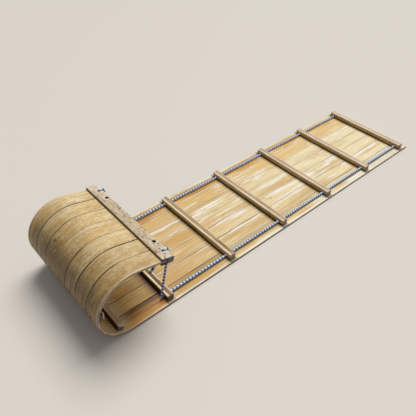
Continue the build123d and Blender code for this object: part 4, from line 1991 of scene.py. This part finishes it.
@dataclass
class SideRope:
    """One taut rope: a knot behind the rear crosspiece, through them all, up, over and down the head bar.

    A tail step goes forward, out to the side and up. Tail_swell is the tail's thickness at the knot and
    what it gains by its cut end.
    """

    plan: Plan
    side: Side
    braid: Braid
    tie_lead: float = 11 * MM
    over_bar: float = 12.1 * MM
    round_drop: float = 3 * MM
    behind_bar: float = 53.2 * MM
    edge_lead: float = 4 * MM
    hole_u: float = 33 * MM
    corner_reach: float = 9 * MM
    knot_drop: float = 24.42 * MM
    rear_knot_back: float = 7.5 * MM
    tail_flat: float = 8 * MM
    knot_squeeze: float = 0.95
    rope_swell: float = 1.08
    tail_steps: tuple[tuple[float, float, float], ...] = (
        (17 * MM, 1.5 * MM, -6 * MM), (15.5 * MM, 2 * MM, -8.5 * MM), (12 * MM, 1 * MM, -11.5 * MM))
    tail_length: float = 52.5 * MM
    tail_swell: tuple[float, float] = (0.9, 0.36)

    @property
    def y(self) -> float:
        """Return the rope's place across."""
        return self.side.value * self.plan.rope_y

    @property
    def bar_knot(self) -> Vector:
        """Return the centre of the knot under the head bar."""
        return self.plan.bar_point(self.hole_u, -self.knot_drop, self.y)

    def route(self) -> list[Vector]:
        """Lay out the rope, with a point beside each corner to keep its runs straight.

        Returns:
            Its control points.
        """
        plan = self.plan
        low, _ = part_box("crosspiece_1")
        rear = Vector((low.x - self.rear_knot_back, self.y, plan.rope_z))
        corner = Vector((plan.crosspiece_faces[-1] + self.tie_lead, self.y, plan.rope_z))
        rear_edge = plan.bar_point(self.behind_bar, self.round_drop, self.y)
        over_edge = plan.bar_point(self.behind_bar - self.edge_lead, self.over_bar, self.y)
        over_hole = plan.bar_point(self.hole_u, self.over_bar, self.y)
        in_hole = plan.bar_point(self.hole_u, 0, self.y)
        reach = self.corner_reach
        up = (rear_edge - corner).normalized() * reach
        return [
            rear, Vector((0, self.y, plan.rope_z)), corner - Vector((reach, 0, 0)), corner, corner + up,
            rear_edge - up, rear_edge, over_edge, over_hole, in_hole, self.bar_knot,
        ]

    def painted_shade(self, line: np.ndarray) -> np.ndarray:
        """Return how much painted shade darkens the rope at rows of its points: between the bed and the head
        bar's top.
        """
        above_bar = (line - self.plan.bar_point(0, 0)) @ np.array(self.plan.lip_up)
        past_tie = 0.85 * ease(0, 3 * MM, line[:, 0] - self.plan.crosspiece_faces[-1])
        risen = np.maximum(past_tie, ease(2 * MM, 6 * MM, line[:, 2] - self.plan.rope_z))
        return risen * (1 - ease(0, 6 * MM, above_bar))

    def heading(self, step: tuple[float, float, float]) -> Vector:
        """Return a tail step on this rope's side."""
        return Vector((step[0], self.side.value * step[1], step[2]))

    def build(self, finish: bpy.types.Material) -> None:
        """Braid the taut rope with its two knots, and the loose tail.

        Args:
            finish: The ropes' material.
        """
        word = self.side.word
        points = self.braid.route_points(f"route_{word}", self.route())
        rope = self.braid.lay(f"taut_rope_{word}", points, squeeze=self.rope_swell, painted_shade=self.painted_shade)
        pieces = [rope]
        for centre, axis in ((points[0], Vector((1, 0, 0))), (self.bar_knot, self.plan.lip_up)):
            knot_points = self.braid.route_points(
                "knot", self.braid.knot_route(Vector(centre), axis), cyclic=True)
            pieces.append(self.braid.lay("knot", knot_points, squeeze=self.knot_squeeze, painted_shade=self.painted_shade))
        select_only(*pieces)
        bpy.ops.object.join()
        show(rope, "rope", finish, f"side_rope_{word}")
        self.build_tail(finish)

    def build_tail(self, finish: bpy.types.Material) -> None:
        """Braid the loose end that leans forward under the curl, thicker at its cut end.

        Args:
            finish: The ropes' material.
        """
        word = self.side.word
        start = self.bar_knot + self.heading(self.tail_steps[0]).normalized() * self.tail_flat
        route = [start]
        for step in self.tail_steps:
            route.append(route[-1] + self.heading(step))
        points = self.braid.route_points(f"tail_route_{word}", route)
        at_knot, gain = self.tail_swell
        tail = self.braid.lay(f"loose_tail_{word}", points, painted_shade=self.painted_shade,
                              swell=lambda run: at_knot + gain * ease(14 * MM, 40 * MM, run))
        show(tail, "rope", finish, f"rope_tail_{word}")


@dataclass
class Studio:
    """A pale floor, soft lamps and the camera.

    The camera's turn is in radians, and its focal length in pixels of the square picture.
    """

    camera_place: Vector = field(default_factory=lambda: Vector((1214.19, 1004.77, 1300.04)) * MM)
    azimuth: float = 3.959570
    elevation: float = -0.723195
    roll: float = 0.044490
    focal_pixels: float = 452.52
    image_size: int = 416
    sensor: float = 36.0
    key_strength: float = 2.55
    key_spread: float = math.radians(38)
    key_direction: tuple[float, float, float] = (0.55, 0.3, -1.0)
    sky: str = "#f4f6fa"
    sky_strength: float = 0.32
    backdrop: str = "#e9e5de"
    floor: str = "#dcd5ca"
    floor_size: float = 24.0

    def build_camera(self) -> None:
        """Add the camera at the solved place, turn and focal length."""
        el, az = self.elevation, self.azimuth
        forward = Vector((math.cos(el) * math.cos(az), math.cos(el) * math.sin(az), math.sin(el)))
        right = forward.cross(Vector((0, 0, 1))).normalized()
        up = right.cross(forward)
        rolled_right = right * math.cos(self.roll) + up * math.sin(self.roll)
        rolled_up = up * math.cos(self.roll) - right * math.sin(self.roll)
        turn = Matrix((rolled_right, rolled_up, -forward)).transposed().to_4x4()
        data = bpy.data.cameras.new("camera")
        data.sensor_width = self.sensor
        data.sensor_fit = "HORIZONTAL"
        data.lens = self.focal_pixels / self.image_size * self.sensor
        data.clip_start = 0.01
        camera = put_in_scene("camera", data)
        camera.matrix_world = Matrix.Translation(self.camera_place) @ turn
        bpy.context.scene.camera = camera

    def build_lamps(self) -> None:
        """Add a broad soft key light from behind the tail's right side and an even sky."""
        data = bpy.data.lights.new("key", "SUN")
        data.energy = self.key_strength
        data.angle = self.key_spread
        key = put_in_scene("key", data)
        key.rotation_euler = Vector(self.key_direction).to_track_quat("-Z", "Y").to_euler()
        world = bpy.data.worlds.new("sky")
        world.use_nodes = True
        tree = world.node_tree
        light = tree.nodes["Background"]
        light.inputs["Color"].default_value = paint(self.sky)
        light.inputs["Strength"].default_value = self.sky_strength
        seen = tree.nodes.new("ShaderNodeBackground")
        seen.inputs["Color"].default_value = paint(self.backdrop)
        path = tree.nodes.new("ShaderNodeLightPath")
        mix = tree.nodes.new("ShaderNodeMixShader")
        tree.links.new(path.outputs["Is Camera Ray"], mix.inputs["Fac"])
        tree.links.new(light.outputs["Background"], mix.inputs[1])
        tree.links.new(seen.outputs["Background"], mix.inputs[2])
        tree.links.new(mix.outputs["Shader"], tree.nodes["World Output"].inputs["Surface"])
        bpy.context.scene.world = world

    def build_floor(self) -> None:
        """Lay the pale floor."""
        bpy.ops.mesh.primitive_plane_add(size=self.floor_size, location=(0, 0, -0.2 * MM))
        floor = bpy.context.object
        floor.name = "floor"
        sheet = NodeSheet("floor_paint")
        sheet.colour = paint(self.floor)
        floor.data.materials.append(sheet.finish(0.6, Specular_IOR_Level=0.2))

    def build(self) -> None:
        """Set the stage and the view."""
        self.build_camera()
        self.build_lamps()
        select_only(bpy.context.scene.camera)
        self.build_floor()
        bpy.context.scene.view_settings.view_transform = "Standard"


def bar_places(plan: Plan) -> list[StraightBar]:
    """List the straight bars with their places and cracks.

    Args:
        plan: The sled's sizes.

    Returns:
        The six crosspieces, the toe bar and the nose strip.
    """
    depth, height = plan.crosspiece_depth, plan.crosspiece_height
    cracks = {
        "crosspiece_5": (Crack(0.42, 0.93, -1 * MM, 2.2 * MM), Crack(0.5, 0.97, -6 * MM, 2.2 * MM)),
        "tie_crosspiece": (Crack(0.2, 0.94, 3.5 * MM, 2.2 * MM), Crack(0.1, 0.97, -1.5 * MM, 2.6 * MM),
                           Crack(0.3, 0.98, -6.5 * MM, 2.4 * MM), Crack(-0.7, -0.2, 1 * MM)),
        "crosspiece_3": (Crack(-0.6, 0.1, 2 * MM, 1.1 * MM),),
        "crosspiece_1": (Crack(0.3, 0.95, -3 * MM, 1.3 * MM), Crack(-0.5, 0.0, 1 * MM, 1.1 * MM)),
        "crosspiece_2": (Crack(-0.97, -0.6, -2 * MM, 1.2 * MM),),
    }
    names = [f"crosspiece_{i + 1}" for i in range(5)] + ["tie_crosspiece"]
    bars = []
    for number, (name, face) in enumerate(zip(names, plan.crosspiece_faces)):
        place = Matrix.Translation((face - depth / 2, 0, plan.slat_thickness))
        bars.append(StraightBar(
            name, plan, depth, height, place, cracks=cracks.get(name, ()), seed=number + 1, tone=number / 5))
    inner = plan.curl_radius - plan.slat_thickness
    strips = (("toe_bar", 24 * MM, 21 * MM, 8), ("nose_strip", 26 * MM, 24 * MM, 9))
    for degrees, (name, width, thick, seed) in zip(plan.strip_angles, strips):
        angle = math.radians(degrees)
        seat = math.sqrt(inner ** 2 - (width / 2) ** 2) - 0.1 * MM
        turn = Matrix.Rotation(-angle, 4, "Y")
        place = Matrix.Translation(plan.on_bend(seat, angle)) @ turn
        bars.append(StraightBar(name, plan, width, thick, place, top_round=2.5 * MM,
                                has_rope_holes=False, seed=seed, tone=1.2))
    return bars


def main() -> None:
    """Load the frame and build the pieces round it."""
    logging.basicConfig(level=logging.INFO, format="%(name)s %(message)s")
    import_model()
    plan = Plan.from_frame()
    Studio().build()
    rope_finish = RopeFinish().build()
    braid = Braid(step=1.4 * MM)
    for side in Side:
        SideRope(plan, side, braid).build(rope_finish)
    screws = ScrewRows(plan)
    SlatBed(plan).build(SlatFinish(plan, screws.stains()).build(), screws)
    screws.build(SteelFinish().build())
    bar_finish = BarFinish().build()
    for bar in bar_places(plan):
        bar.build(bar_finish)
    HeadBar(plan).build(HeadBarFinish().build())


if __name__ == "__main__":
    main()
